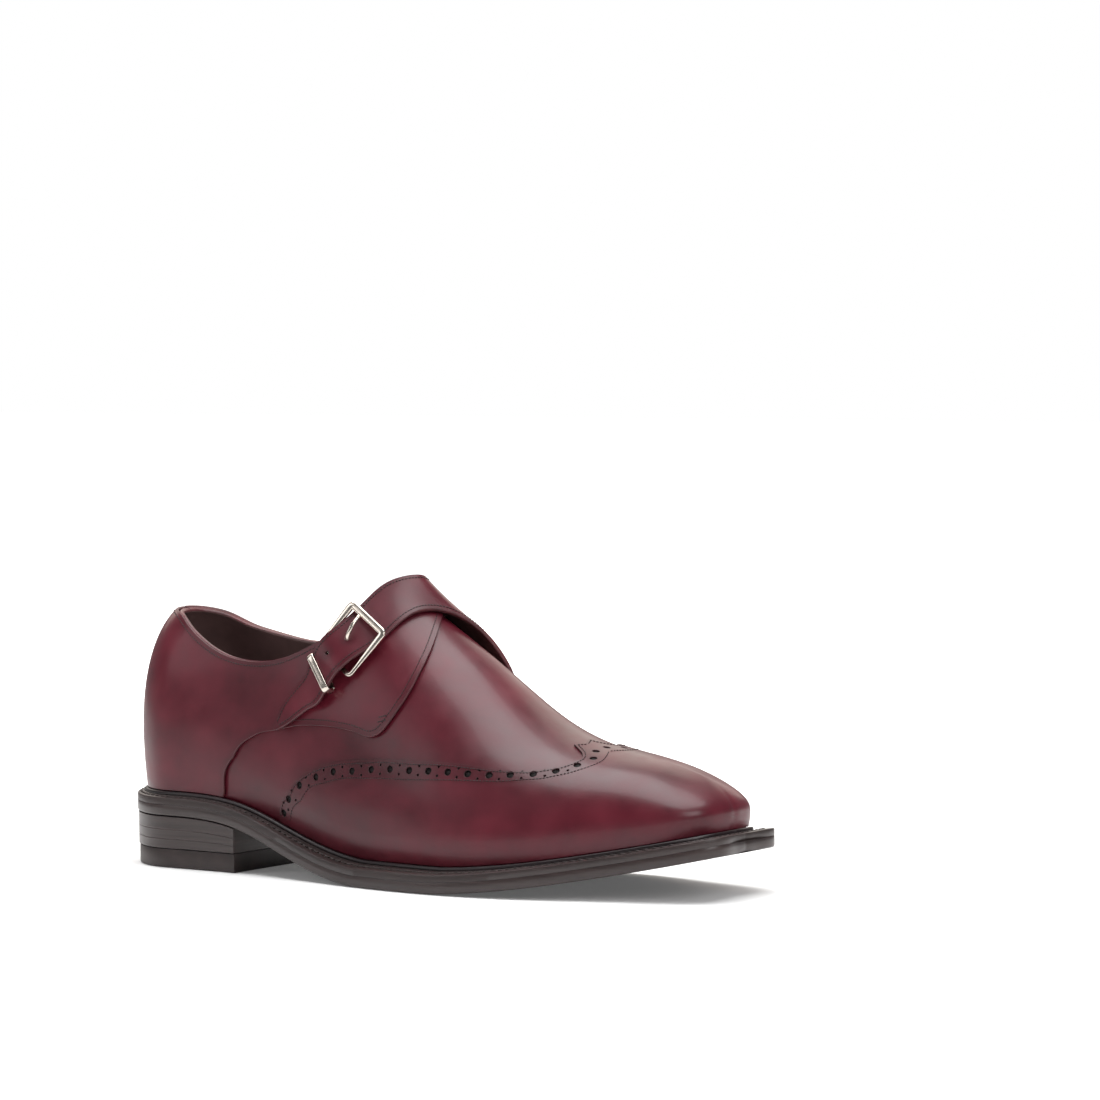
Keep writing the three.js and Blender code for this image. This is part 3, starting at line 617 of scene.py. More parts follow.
# ---------------------------------------------------------------- node helpers
class Nodes:
    """A material's node tree with short calls to add and join nodes."""

    def __init__(self, name):
        self.material = bpy.data.materials.new(name)
        self.material.use_nodes = True
        self.tree = self.material.node_tree
        self.shader = self.tree.nodes["Principled BSDF"]
        self.place = self.tree.nodes.new("ShaderNodeTexCoord").outputs["Object"]

    def set(self, **values):
        for name, value in values.items():
            self.shader.inputs[name.replace("_", " ")].default_value = value

    def add(self, kind, **values):
        node = self.tree.nodes.new(kind)
        for name, value in values.items():
            setattr(node, name, value)
        return node

    def join(self, source, socket):
        self.tree.links.new(source, socket)

    def noise(self, scale, detail=3.0, stretch=(1, 1, 1)):
        mapping = self.add("ShaderNodeMapping")
        mapping.inputs["Scale"].default_value = stretch
        self.join(self.place, mapping.inputs["Vector"])
        node = self.add("ShaderNodeTexNoise")
        node.inputs["Scale"].default_value = scale
        node.inputs["Detail"].default_value = detail
        self.join(mapping.outputs["Vector"], node.inputs["Vector"])
        return node.outputs["Fac"]

    def pores(self, scale):
        node = self.add("ShaderNodeTexVoronoi")
        node.inputs["Scale"].default_value = scale
        self.join(self.place, node.inputs["Vector"])
        return node.outputs["Distance"]

    def ramp(self, source, stops):
        node = self.add("ShaderNodeValToRGB")
        elements = node.color_ramp.elements
        while len(elements) < len(stops):
            elements.new(0.5)
        for element, (spot, colour) in zip(elements, stops):
            element.position = spot
            element.color = (*colour, 1) if len(colour) == 3 else colour
        self.join(source, node.inputs["Fac"])
        return node.outputs["Color"]

    def reading(self, source, low, high, to_low, to_high):
        node = self.add("ShaderNodeMapRange", interpolation_type="SMOOTHSTEP")
        for name, value in zip(
            ("From Min", "From Max", "To Min", "To Max"), (low, high, to_low, to_high)):
            node.inputs[name].default_value = value
        self.join(source, node.inputs["Value"])
        return node.outputs["Result"]

    def maths(self, operation, a, b):
        node = self.add("ShaderNodeMath", operation=operation)
        for socket, value in zip(node.inputs, (a, b)):
            if isinstance(value, (int, float)):
                socket.default_value = value
            else:
                self.join(value, socket)
        return node.outputs["Value"]

    def mix(self, factor, a, b, blend="MIX"):
        node = self.add("ShaderNodeMix", data_type="RGBA", blend_type=blend)
        sockets = [s for s in node.inputs if s.enabled or s.name in ("Factor", "A", "B")]
        factor_socket = node.inputs[0]
        a_socket, b_socket = [s for s in sockets if s.type == "RGBA"][:2]
        for socket, value in ((factor_socket, factor), (a_socket, a), (b_socket, b)):
            if isinstance(value, (int, float)):
                socket.default_value = value
            elif isinstance(value, tuple):
                socket.default_value = (*value, 1)
            else:
                self.join(value, socket)
        return [s for s in node.outputs if s.type == "RGBA"][0]

    def bump(self, height, strength, distance, under=None):
        node = self.add("ShaderNodeBump")
        node.inputs["Strength"].default_value = strength
        node.inputs["Distance"].default_value = distance
        self.join(height, node.inputs["Height"])
        if under is not None:
            self.join(under, node.inputs["Normal"])
        return node.outputs["Normal"]

    def colour(self, source):
        self.join(source, self.shader.inputs["Base Color"])

    def normal(self, source):
        self.join(source, self.shader.inputs["Normal"])


def burgundy_calf(name, props):
    """Polished calf: mottled burgundy, darker where it was burnished along seams and cut edges."""
    nodes = Nodes(name)
    nodes.set(Roughness=props.roughness, Coat_Weight=0.12, Coat_Roughness=0.14, IOR=1.42)
    deep, middle, bright = (tuple(c) for c in (props.deep, props.middle, props.bright))
    cloudy = nodes.noise(16, 4, (1, 1, 1.6))
    fine = nodes.noise(90, 3)
    blend = nodes.maths("ADD", nodes.maths("MULTIPLY", cloudy, 0.75), nodes.maths("MULTIPLY", fine, 0.25))
    tone = nodes.ramp(blend, [(0.3, deep), (0.5, middle), (0.72, bright)])
    cut = nodes.add("ShaderNodeAttribute", attribute_name="cut").outputs["Fac"]
    near = nodes.reading(cut, 0.2, 3.4, 1, 0)
    worn = nodes.maths("MULTIPLY", near, 0.3)
    tone = nodes.mix(worn, tone, tuple(c * 0.45 for c in deep))
    nodes.colour(tone)
    rough = nodes.reading(fine, 0.3, 0.7, props.roughness - 0.03, props.roughness + 0.05)
    nodes.join(rough, nodes.shader.inputs["Roughness"])
    pores = nodes.bump(nodes.pores(1500), 0.18, 0.00004)
    grain = nodes.bump(nodes.noise(420, 4), 0.16, 0.00012, pores)
    nodes.normal(nodes.bump(nodes.noise(55, 2), 0.2, 0.0004, grain))
    return nodes.material


def plain_leather(name, colour, roughness, grain=900):
    """Matt leather or rubber, a little lighter and darker in patches."""
    spread = 0.35
    nodes = Nodes(name)
    nodes.set(Roughness=roughness)
    darker = tuple(c * (1 - spread) for c in colour)
    lighter = tuple(min(1, c * (1 + spread)) for c in colour)
    nodes.colour(nodes.ramp(nodes.noise(70, 4), [(0.32, darker), (0.68, lighter)]))
    nodes.normal(nodes.bump(nodes.noise(grain, 3), 0.35, 0.00008))
    return nodes.material


def lining_leather(name, colour, forward_colour):
    """Smooth lining, with a darker front section behind a raised seam."""
    nodes = Nodes(name)
    nodes.set(Roughness=0.5)
    split = nodes.add("ShaderNodeSeparateXYZ")
    nodes.join(nodes.place, split.inputs["Vector"])
    forward = nodes.reading(
        split.outputs["X"], LINING_SEAM_X - 0.0002, LINING_SEAM_X + 0.0002, 0, 1)
    tone = nodes.mix(forward, colour, forward_colour)
    shade = nodes.ramp(nodes.noise(60, 3), [(0.3, (0.7, 0.7, 0.7)), (0.7, (1, 1, 1))])
    nodes.colour(nodes.mix(1.0, tone, shade, "MULTIPLY"))
    seam = nodes.maths("SUBTRACT", split.outputs["X"], LINING_SEAM_X)
    ridge = nodes.reading(nodes.maths("ABSOLUTE", seam, 0), 0, 0.0008, 0, 1)
    under = nodes.bump(ridge, 0.6, 0.0006)
    nodes.normal(nodes.bump(nodes.noise(700, 3), 0.3, 0.00008, under))
    return nodes.material


def layered_sole(name, colour, roughness, layers=0.0):
    """Stained sole edge: fine lines run along it, and the heel shows its lifts."""
    nodes = Nodes(name)
    nodes.set(Roughness=roughness, Coat_Weight=0.12, Coat_Roughness=0.3)
    lines = nodes.noise(30, 4, (0.6, 0.6, 30))
    low = tuple(c * 0.72 for c in colour)
    high = tuple(c * 1.28 for c in colour)
    nodes.colour(nodes.ramp(lines, [(0.3, low), (0.7, high)]))
    nodes.normal(nodes.bump(lines, 0.25 + layers, 0.0002, nodes.bump(nodes.noise(500, 2), 0.15, 0.0001)))
    return nodes.material


def nickel(name, colour, roughness):
    """Warm plating with faint wear marks."""
    nodes = Nodes(name)
    nodes.set(Metallic=1.0)
    marks = nodes.noise(260, 4)
    tint = nodes.ramp(nodes.noise(120, 3), [(0.35, tuple(c * 0.9 for c in colour)), (0.7, colour)])
    nodes.colour(tint)
    rough = nodes.reading(marks, 0.3, 0.75, roughness * 0.75, roughness * 1.5)
    nodes.join(rough, nodes.shader.inputs["Roughness"])
    nodes.normal(nodes.bump(marks, 0.08, 0.00005))
    return nodes.material


def waxed_thread(name, colour):
    """Dark thread, with its twist as fine noise."""
    nodes = Nodes(name)
    nodes.set(Roughness=0.55)
    twist = nodes.noise(2400, 2)
    nodes.colour(nodes.ramp(twist, [(0.3, tuple(c * 0.55 for c in colour)), (0.7, colour)]))
    nodes.normal(nodes.bump(twist, 0.5, 0.0001))
    return nodes.material


# ---------------------------------------------------------------- repeated parts
def scatter_tree(name, kind, material):
    """Geometry nodes that put one small part on each point, turned and scaled by its attributes.

    A thread's long axis is tipped from Z to X, to lie along its row. A disc stays flat, and its
    Length is its width."""
    tree = bpy.data.node_groups.new(name, "GeometryNodeTree")
    face = tree.interface
    face.new_socket("Geometry", in_out="INPUT", socket_type="NodeSocketGeometry")
    sizes = {}
    for label, value in (("Length", 1.0), ("Thickness", 0.4)):
        socket = face.new_socket(label, in_out="INPUT", socket_type="NodeSocketFloat")
        socket.default_value = value
        sizes[label] = socket.identifier
    face.new_socket("Geometry", in_out="OUTPUT", socket_type="NodeSocketGeometry")
    new = tree.nodes.new
    link = tree.links.new
    given, out = new("NodeGroupInput"), new("NodeGroupOutput")
    if kind == "thread":
        part, facets = new("GeometryNodeMeshUVSphere"), {"Segments": 6, "Rings": 5, "Radius": 0.5}
        across, tall, tip = "Thickness", "Length", math.pi / 2
    else:
        part, facets = new("GeometryNodeMeshCylinder"), {"Vertices": 12, "Radius": 0.5, "Depth": 1.0}
        across, tall, tip = "Length", "Thickness", 0
    for label, value in facets.items():
        part.inputs[label].default_value = value
    size = new("ShaderNodeCombineXYZ")
    shape = new("GeometryNodeTransform")
    link(part.outputs["Mesh"], shape.inputs["Geometry"])
    for axis, label in zip("XYZ", (across, across, tall)):
        link(given.outputs[label], size.inputs[axis])
    shape.inputs["Rotation"].default_value = (0, tip, 0)
    link(size.outputs["Vector"], shape.inputs["Scale"])
    turn = new("GeometryNodeInputNamedAttribute")
    turn.data_type = "FLOAT_VECTOR"
    turn.inputs["Name"].default_value = "turn"
    rotation = new("FunctionNodeEulerToRotation")
    link(turn.outputs["Attribute"], rotation.inputs["Euler"])
    scale = new("GeometryNodeInputNamedAttribute")
    scale.data_type = "FLOAT"
    scale.inputs["Name"].default_value = "scale"
    spread = new("GeometryNodeInstanceOnPoints")
    link(given.outputs["Geometry"], spread.inputs["Points"])
    link(shape.outputs["Geometry"], spread.inputs["Instance"])
    link(rotation.outputs["Rotation"], spread.inputs["Rotation"])
    link(scale.outputs["Attribute"], spread.inputs["Scale"])
    real = new("GeometryNodeRealizeInstances")
    finish = new("GeometryNodeSetMaterial")
    finish.inputs["Material"].default_value = material
    link(spread.outputs["Instances"], real.inputs["Geometry"])
    link(real.outputs["Geometry"], finish.inputs["Geometry"])
    link(finish.outputs["Geometry"], out.inputs["Geometry"])
    return tree, sizes


def scatter(name, kind, material, spots, length, thickness):
    """Spots are (point, along, normal, scale) arrays; the result is one plain mesh."""
    points = np.concatenate([s[0] for s in spots])
    mesh = bpy.data.meshes.new(name + "_points")
    mesh.from_pydata([tuple(p) for p in points], [], [])
    turns = []
    for _, ways, normals, _ in spots:
        for way, normal in zip(ways, normals):
            x = Vector(way).normalized()
            z = Vector(normal).normalized()
            y = z.cross(x).normalized()
            x = y.cross(z)
            turns.append(Matrix((x, y, z)).transposed().to_euler())
    made = mesh.attributes.new("turn", "FLOAT_VECTOR", "POINT")
    made.data.foreach_set("vector", np.array([tuple(t) for t in turns], np.float32).ravel())
    made = mesh.attributes.new("scale", "FLOAT", "POINT")
    made.data.foreach_set("value", np.concatenate([s[3] for s in spots]).astype(np.float32))
    carrier = bpy.data.objects.new(name + "_points", mesh)
    bpy.context.scene.collection.objects.link(carrier)
    tree, sizes = scatter_tree(name + "_rows", kind, material)
    modifier = carrier.modifiers.new("rows", "NODES")
    modifier.node_group = tree
    modifier[sizes["Length"]] = length * METRES
    modifier[sizes["Thickness"]] = thickness * METRES
    graph = bpy.context.evaluated_depsgraph_get()
    result = bpy.data.meshes.new_from_object(carrier.evaluated_get(graph))
    result.name = name
    result.polygons.foreach_set("use_smooth", np.ones(len(result.polygons), bool))
    obj = bpy.data.objects.new(name, result)
    bpy.context.scene.collection.objects.link(obj)
    bpy.data.objects.remove(carrier)
    return obj


STITCH_LIFT = 0.05  # how far a stitch's middle stands above the leather
STITCH_AIM = 0.3  # a stitch points from this far behind its middle to this far ahead


def stitch_row(at, line, pitch):
    """Spots along a chart line, at an even pitch in millimetres, just above the leather."""
    dense = even(line, 0.4)
    spots = at(dense)
    lengths = run_lengths(spots) / METRES
    marks = np.arange(pitch / 2, lengths[-1], pitch)
    flat = np.stack([np.interp(marks, lengths, column) for column in dense.T], 1)
    places = at(flat)
    ahead = np.stack([np.interp(marks + STITCH_AIM, lengths, column) for column in dense.T], 1)
    back = np.stack([np.interp(marks - STITCH_AIM, lengths, column) for column in dense.T], 1)
    normal = tangents(at, flat)[2]
    spots = places + normal * STITCH_LIFT * METRES
    return spots, at(ahead) - at(back), normal, np.ones(len(flat))


# ---------------------------------------------------------------- the pieces' outlines
def foot_girth(run):
    """How far round the section the leather's lower edge lies, just above the welt's rib."""
    return 1 - WIDEST_SHARE * FOOT_LIFT / upper_at(run)[..., 7]


FOOT_BAND = 0.6  # chart points this near the lower edge count as lying on it


def at_foot(points):
    """Whether chart points lie on the leather's lower edge, which isn't swollen."""
    run = points[:, 0] / RUN_LENGTH
    return np.abs(np.abs(points[:, 1]) - foot_girth(run) * GIRTH_LENGTH) < FOOT_BAND


HALVINGS = 40


def collar_girth(run, side, drop):
    """The girth at which the section meets the top line, 0 where it passes over the crest."""
    low, high = np.zeros(len(run)), np.full(len(run), 0.8)
    for _ in range(HALVINGS):
        middle = (low + high) / 2
        point = skin(run, side * np.maximum(middle, 1e-7))
        line = collar_curve(point[:, 0])[:, 0 if side < 0 else 1] - drop
        above = point[:, 2] > line
        low, high = np.where(above, middle, low), np.where(above, high, middle)
    return np.where(low < 1e-5, 0.0, (low + high) / 2)


BACK_SEAM = 0.35 / RUN_LENGTH  # the quarters stop this far short of the middle of the back


def root_girth(across):
    """Girth of the line that the strap grows out of, from its rear end (0) to its front (1)."""
    return ROOT_GIRTH + ROOT_DROP * across


def quarter_outline(side):
    """Anticlockwise in the chart for the outer quarter, and the same mirrored for the inner."""
    flap = OUTER_FLAP if side < 0 else INNER_FLAP
    foot_runs = np.linspace(BACK_SEAM, run_at(flap[0][0]), 70)[:-1]
    foot = np.stack([foot_runs * RUN_LENGTH, foot_girth(foot_runs) * GIRTH_LENGTH], 1)
    first = np.array([[foot_runs[-1] * RUN_LENGTH + 0.6, foot[-1, 1]]])
    front = curve_through(np.concatenate([first, chart(flap)]))
    last_run = run_at(CLOSED_CREST)
    runs = np.linspace(last_run, BACK_SEAM, 230)
    girth = collar_girth(runs, side, COLLAR_STEP)
    keep = girth > 0.004
    top = np.stack([runs[keep] * RUN_LENGTH, girth[keep] * GIRTH_LENGTH], 1)
    if side > 0:
        across = np.linspace(1, 0, ROOT_POINTS)
        x = ROOT_REAR + ROOT_LENGTH * across
        root = np.stack([run_at(x) * RUN_LENGTH, root_girth(across) * GIRTH_LENGTH], 1)
        top = top[top[:, 0] < root[-1, 0] - 0.5]
        top = np.concatenate([root[1:], top])
    else:
        crest = even(np.array([front[-1], top[0]]), 1.0)[1:-1]
        top = np.concatenate([crest, top])
    back = even(np.array([top[-1], foot[0]]), 1.2)[1:-1]
    outline = np.concatenate([foot, front, top, back])
    outline[:, 1] *= side
    return outline if side < 0 else outline[::-1], front * np.array([1, side])


def root_lift(run, girth):
    """The inner quarter rises to meet the strap that grows out of it."""
    x = x_at(run)
    across = np.clip((x - ROOT_REAR) / ROOT_LENGTH, 0, 1)
    below = girth - root_girth(across)
    rise = smooth(1 - below / 0.16) * smooth((x - 92) / 20)
    return QUARTER_FACE + 0.7 * rise


lateral_at = body_chart(QUARTER_FACE, QUARTER_WALL)
medial_at = body_chart(root_lift, QUARTER_WALL)
cap_at = body_chart(CAP_WALL, CAP_WALL - 0.05)


def strap_rows():
    rows = np.array(STRAP, float)
    x, girth = (rows[:, 0] + rows[:, 3]) / 2, (rows[:, 1] + rows[:, 4]) / 2
    lengths = run_lengths(skin(run_at(x), girth))
    return natural(lengths, rows), lengths[-1]


strap_row_at, STRAP_LENGTH = strap_rows()
STRAP_WIDTH = 14.0


def strap_at(points, share=0.0):
    """Chart of the strap: u along it from its root, v across it from rear to front."""
    u, v = points[:, 0], points[:, 1] / STRAP_WIDTH
    rear_x, rear_girth, rear_off, front_x, front_girth, front_off = strap_row_at(
        np.clip(u, 0, STRAP_LENGTH)).T
    x = rear_x + (front_x - rear_x) * v
    girth = rear_girth + (front_girth - rear_girth) * v
    off = rear_off + (front_off - rear_off) * v
    wall = QUARTER_WALL + (STRAP_WALL - QUARTER_WALL) * smooth(u / 12)
    return place(on_body(run_at(x), girth, off - share * wall))


def wing_edge(side):
    """The cap's upper edge from the foot to its point; the point leans to the outer side."""
    return curve_through(chart(wing_rows(WING_SIDE, side))) * np.array([1, side])


def wing_rows(table, side):
    """A cap line on one side. The tables are for the outer side, and the inner side's line leans
    over near the toe to meet it at the cap's point."""
    rows = np.array(table, float)
    if side < 0:
        return rows
    near = smooth((rows[:, 0] - 195) / 40) * smooth((0.6 - rows[:, 1]) / 0.3)
    rows[:, 1] = rows[:, 1] - 2 * PEAK_AXIS * near
    return rows


NOTCH_PITCH = 0.6


def wing_lines():
    """The cap's two edges from the foot up, and the straight cuts into and out of its notch."""
    outer, inner = wing_edge(-1), wing_edge(1)
    notch = chart([WING_NOTCH], -1)[0]
    cut_in = even(np.array([inner[-1], notch]), NOTCH_PITCH)[1:]
    cut_out = even(np.array([notch, outer[-1]]), NOTCH_PITCH)
    return outer, inner, cut_in, cut_out


def cap_outline():
    start = run_at(WING_SIDE[0][0])
    runs = start + (1 - start) * np.linspace(0, 1, 260)
    foot = np.stack([runs * RUN_LENGTH, foot_girth(runs) * GIRTH_LENGTH], 1)
    toe = np.linspace(1, 0, 90)[1:, None] * foot[-1][None] * [0, 1] + [RUN_LENGTH, 0]
    outer, inner, cut_in, cut_out = wing_lines()
    flip = np.array([1, -1])
    return np.concatenate([
        foot * flip, toe * flip, toe[-2::-1], foot[::-1], inner, cut_in, cut_out[1:],
        outer[::-1][1:],
    ])


def hole_centres():
    """Big holes along the cap's edge on both sides, and the pairs of small ones between them."""
    big, small = [], []
    for side in (-1, 1):
        centres = chart(wing_rows(WING_HOLES, side)) * np.array([1, side])
        big.append(centres)
        middles = (centres[1:] + centres[:-1]) / 2
        way = unit(np.gradient(cap_at(middles), axis=0))
        normal = tangents(cap_at, middles)[2]
        across = np.cross(normal, way)
        last = len(middles) - 2
        for offset in (-1.9, 1.9):
            small.append(shift(cap_at, middles, across * offset * METRES)[:last])
    return np.concatenate(big), np.concatenate(small)


# ---------------------------------------------------------------- lofted rings
def perimeter(runs, edge):
    """Round a closed outline, seen from above anticlockwise."""
    outer = edge(runs, -1.0)
    inner = edge(runs, 1.0)
    closed = np.linalg.norm(outer[-1] - inner[-1]) < 1e-6
    back = inner[::-1][1:-1] if closed else inner[::-1][:-1]
    return np.concatenate([outer, back])


def stack(name, rings, count, materials, sharp):
    """Closed skin through rings of the same count, with strips across both ends."""
    total = len(rings[0])
    points = np.concatenate(rings)
    faces = []
    for k in range(len(rings) - 1):
        for i in range(total):
            j = (i + 1) % total
            a, b = k * total, (k + 1) * total
            faces.append([a + i, a + j, b + j, b + i])
    top = (len(rings) - 1) * total
    for i in range(count - 1):
        j, k = (total - i) % total, (total - i - 1) % total
        quad = [i, j, k, i + 1]
        quad = [q for n, q in enumerate(quad) if q != quad[n - 1]]
        if len(set(quad)) > 2:
            faces.append(quad)
            faces.append([top + q for q in reversed(quad)])
    obj = mesh_object(name, points, faces, materials)
    obj.data.set_sharp_from_angle(angle=math.radians(sharp))
    return obj


def ring_at(runs, edge, height):
    plan = perimeter(runs, edge)
    return place(np.column_stack([plan, height(plan[:, 0])]))


def tube_ring(name, sections, materials, sharp=40):
    """A closed tube whose sections follow each other in a closed loop."""
    rows, count = len(sections), len(sections[0])
    faces = []
    for i in range(rows):
        for j in range(count):
            k = (j + 1) % count
            n = (i + 1) % rows
            faces.append([i * count + j, n * count + j, n * count + k, i * count + k])
    obj = mesh_object(name, np.concatenate(sections), faces, materials)
    obj.data.set_sharp_from_angle(angle=math.radians(sharp))
    return obj


def welt_sections(profile, count):
    runs = crowded_runs(count)
    loops = []
    for side, chosen in ((-1.0, runs), (1.0, runs[::-1][1:-1])):
        inside = edge_points(chosen, side, 0, upper_at)
        outside = edge_points(chosen, side, 0, sole_at)
        way = unit(outside - inside)
        for i in range(len(chosen)):
            section = []
            for share, reach, height in profile:
                plan = inside[i] + (outside[i] - inside[i]) * share + way[i] * reach
                section.append((*plan, float(ground(plan[0])) + height))
            loops.append(place(section))
    return loops


# Share of the way from the upper to the sole's edge, extra reach, height over the underside
WELT_PROFILE = [
    (0, 0.4, 4.8), (1, -0.12, 4.8), (1, 0, 4.95), (1, 0, 7.3), (1, -0.2, 7.75), (1, -0.65, 7.98),
    (0.82, -0.1, 8.12), (0.62, 0.9, 8.28), (0.55, 1.25, 7.98), (0.47, 1.6, 7.98),
    (0.4, 1.95, 8.42), (0, 3.5, 8.66), (0, 3.0, 8.3), (0, 0.4, 8.3),
]
WELT_ROW = [(0.51, 1.4, 8.22)]  # where the welt's stitches run
WELT_SLANT = 14.0  # degrees that each welt stitch is turned from its row
RIB_PROFILE = [
    (0, 3.05, 8.2), (0, 3.2, 8.9), (0, 3.12, 9.6), (0, 2.75, 10.05), (0, 2.1, 10.2),
    (0, 1.3, 10.15), (0, 0.75, 9.9), (0, 0.5, 9.4), (0, 0.4, 8.2),
]


# Inset from the sole's edge and height over its underside
OUTSOLE_PROFILE = [(1.4, 0), (0.5, 0.12), (0.12, 0.4), (0, 0.9), (0, 2.8), (0, 4.62), (0.12, 4.77)]
TOP_LIFT_PROFILE = [
    (1.3, 0), (0.9, 0.25), (0.8, 0.7), (0.8, 7.6), (0.95, 7.9), (1.4, TOP_LIFT_THICK),
]
# Inset from the feather line and height over the sock's base
SOCK_PROFILE = [(0.9, 0), (0.6, 0.3), (0.6, 2.6), (1.0, 3)]
HEEL_LIFTS = [(0, 0.3), (0.3, 0.6), (0.6, 1)]  # shares of the stack's height


def breast_run():
    runs = np.linspace(0, 0.5, 4001)
    return runs[np.searchsorted(edge_points(runs, -1.0, 0, sole_at)[:, 0], HEEL_BREAST_X)]


# ---------------------------------------------------------------- metal
def buckle_axes():
    top_rear, top_front, foot_front, foot_rear = BUCKLE_CORNERS
    across, up = top_front - top_rear, top_rear - foot_rear
    x = across / np.linalg.norm(across)
    z = unit(np.cross(x, up))
    y = np.cross(z, x)
    return BUCKLE_CORNERS.mean(0), np.stack([x, y, z]), np.linalg.norm(across), np.linalg.norm(up)


def rounded_box(width, height, radius, corner=7, side=8):
    """A closed flat path with its outward directions."""
    points, ways = [], []
    for cx, cy, start in ((1, -1, -90), (1, 1, 0), (-1, 1, 90), (-1, -1, 180)):
        middle = np.array([cx * (width / 2 - radius), cy * (height / 2 - radius)])
        for angle in np.radians(np.linspace(start, start + 90, corner)):
            way = np.array([math.cos(angle), math.sin(angle)])
            points.append(middle + way * radius)
            ways.append(way)
    points, ways = np.array(points), np.array(ways)
    full_points, full_ways = [], []
    for i in range(len(points)):
        j = (i + 1) % len(points)
        full_points.append(points[i])
        full_ways.append(ways[i])
        if np.linalg.norm(points[j] - points[i]) > 2 * radius:
            for share in np.linspace(0, 1, side)[1:-1]:
                full_points.append(points[i] + (points[j] - points[i]) * share)
                full_ways.append(ways[i])
    return np.array(full_points), np.array(full_ways)


def superellipse(width, height, power, sides):
    angle = np.linspace(0, 2 * math.pi, sides, endpoint=False)
    c, s = np.cos(angle), np.sin(angle)
    return np.stack([
        np.sign(c) * np.abs(c) ** (2 / power) * width / 2,
        np.sign(s) * np.abs(s) ** (2 / power) * height / 2], 1)


def flat_ring(name, centre, axes, width, height, radius, section, materials, taper=None):
    """A ring of metal swept round a rounded box in the plane of the first two axes."""
    points, ways = rounded_box(width, height, radius)
    sections = []
    for point, way in zip(points, ways):
        size = taper(point[1] / height + 0.5) if taper else 1.0
        loop = [
            centre + axes.T @ np.array([*(point + way * a * size), b * size]) for a, b in section]
        sections.append(place(loop))
    return tube_ring(name, sections, materials)


def rod(points, radii, sides=14):
    """A round rod with domed ends along a line, as points and faces."""
    points = np.asarray(points, float)
    ways = unit(np.gradient(points, axis=0))
    guide = np.array([0.3, 0.2, 0.93])
    rings = []
    angle = np.linspace(0, 2 * math.pi, sides, endpoint=False)
    caps = [math.radians(a) for a in (80, 55, 28)]
    stations = [(points[0] - ways[0] * radii[0] * math.sin(a), ways[0], radii[0] * math.cos(a)) for a in caps]
    stations += list(zip(points, ways, radii))
    stations += [
        (points[-1] + ways[-1] * radii[-1] * math.sin(a), ways[-1], radii[-1] * math.cos(a))
        for a in caps[::-1]]
    for point, way, radius in stations:
        side = unit(np.cross(way, guide))
        other = np.cross(way, side)
        rings.append(
            point + radius * (np.cos(angle)[:, None] * side + np.sin(angle)[:, None] * other))
    faces = []
    for i in range(len(rings) - 1):
        for j in range(sides):
            k = (j + 1) % sides
            faces.append([i * sides + j, i * sides + k, (i + 1) * sides + k, (i + 1) * sides + j])
    last = (len(rings) - 1) * sides
    faces.append(list(range(sides))[::-1])
    faces.append([last + j for j in range(sides)])
    return np.concatenate(rings), faces


# ---------------------------------------------------------------- settings
class ShoeLeather(bpy.types.PropertyGroup):
    deep: bpy.props.FloatVectorProperty(
        name="Deep tone", description="Colour of the burnished leather", subtype="COLOR",
        default=(0.044, 0.0025, 0.0066), min=0, max=1)
    middle: bpy.props.FloatVectorProperty(
        name="Middle tone", description="Main colour of the leather", subtype="COLOR",
        default=(0.084, 0.0051, 0.0132), min=0, max=1)
    bright: bpy.props.FloatVectorProperty(
        name="Bright tone", description="Colour where the patina is lightest", subtype="COLOR",
        default=(0.142, 0.0115, 0.024), min=0, max=1)
    roughness: bpy.props.FloatProperty(
        name="Roughness", description="How matt the polish is", subtype="FACTOR",
        default=0.36, min=0.05, max=1)
    pitch: bpy.props.FloatProperty(
        name="Mesh pitch", description="Distance between vertices of the leather sheets",
        default=0.0022, min=0.001, max=0.01, unit="LENGTH")


class ShoeStitching(bpy.types.PropertyGroup):
    pitch: bpy.props.FloatProperty(
        name="Stitch pitch", description="From one upper stitch to the next",
        default=0.00145, min=0.0005, max=0.01, unit="LENGTH")
    length: bpy.props.FloatProperty(
        name="Stitch length", description="Length of one upper stitch",
        default=0.00115, min=0.0005, max=0.01, unit="LENGTH")
    thickness: bpy.props.FloatProperty(
        name="Thread thickness", description="Thickness of the upper thread",
        default=0.00048, min=0.0001, max=0.003, unit="LENGTH")
    welt_pitch: bpy.props.FloatProperty(
        name="Welt pitch", description="From one welt stitch to the next",
        default=0.0035, min=0.001, max=0.02, unit="LENGTH")
    colour: bpy.props.FloatVectorProperty(
        name="Thread", description="Colour of the thread", subtype="COLOR",
        default=(0.022, 0.005, 0.006), min=0, max=1)


class ShoeCap(bpy.types.PropertyGroup):
    big_hole: bpy.props.FloatProperty(
        name="Large hole", description="Width of the large perforations",
        default=0.0031, min=0.001, max=0.006, unit="LENGTH")
    small_hole: bpy.props.FloatProperty(
        name="Small hole", description="Width of the small perforations",
        default=0.0012, min=0.0005, max=0.003, unit="LENGTH")


class ShoeSole(bpy.types.PropertyGroup):
    edge: bpy.props.FloatVectorProperty(
        name="Edge stain", description="Colour of the sole's and heel's edge", subtype="COLOR",
        default=(0.035, 0.022, 0.021), min=0, max=1)
    groove: bpy.props.FloatProperty(
        name="Lift groove", description="Depth of the lines between the heel's lifts",
        default=0.00014, min=0, max=0.001, unit="LENGTH")


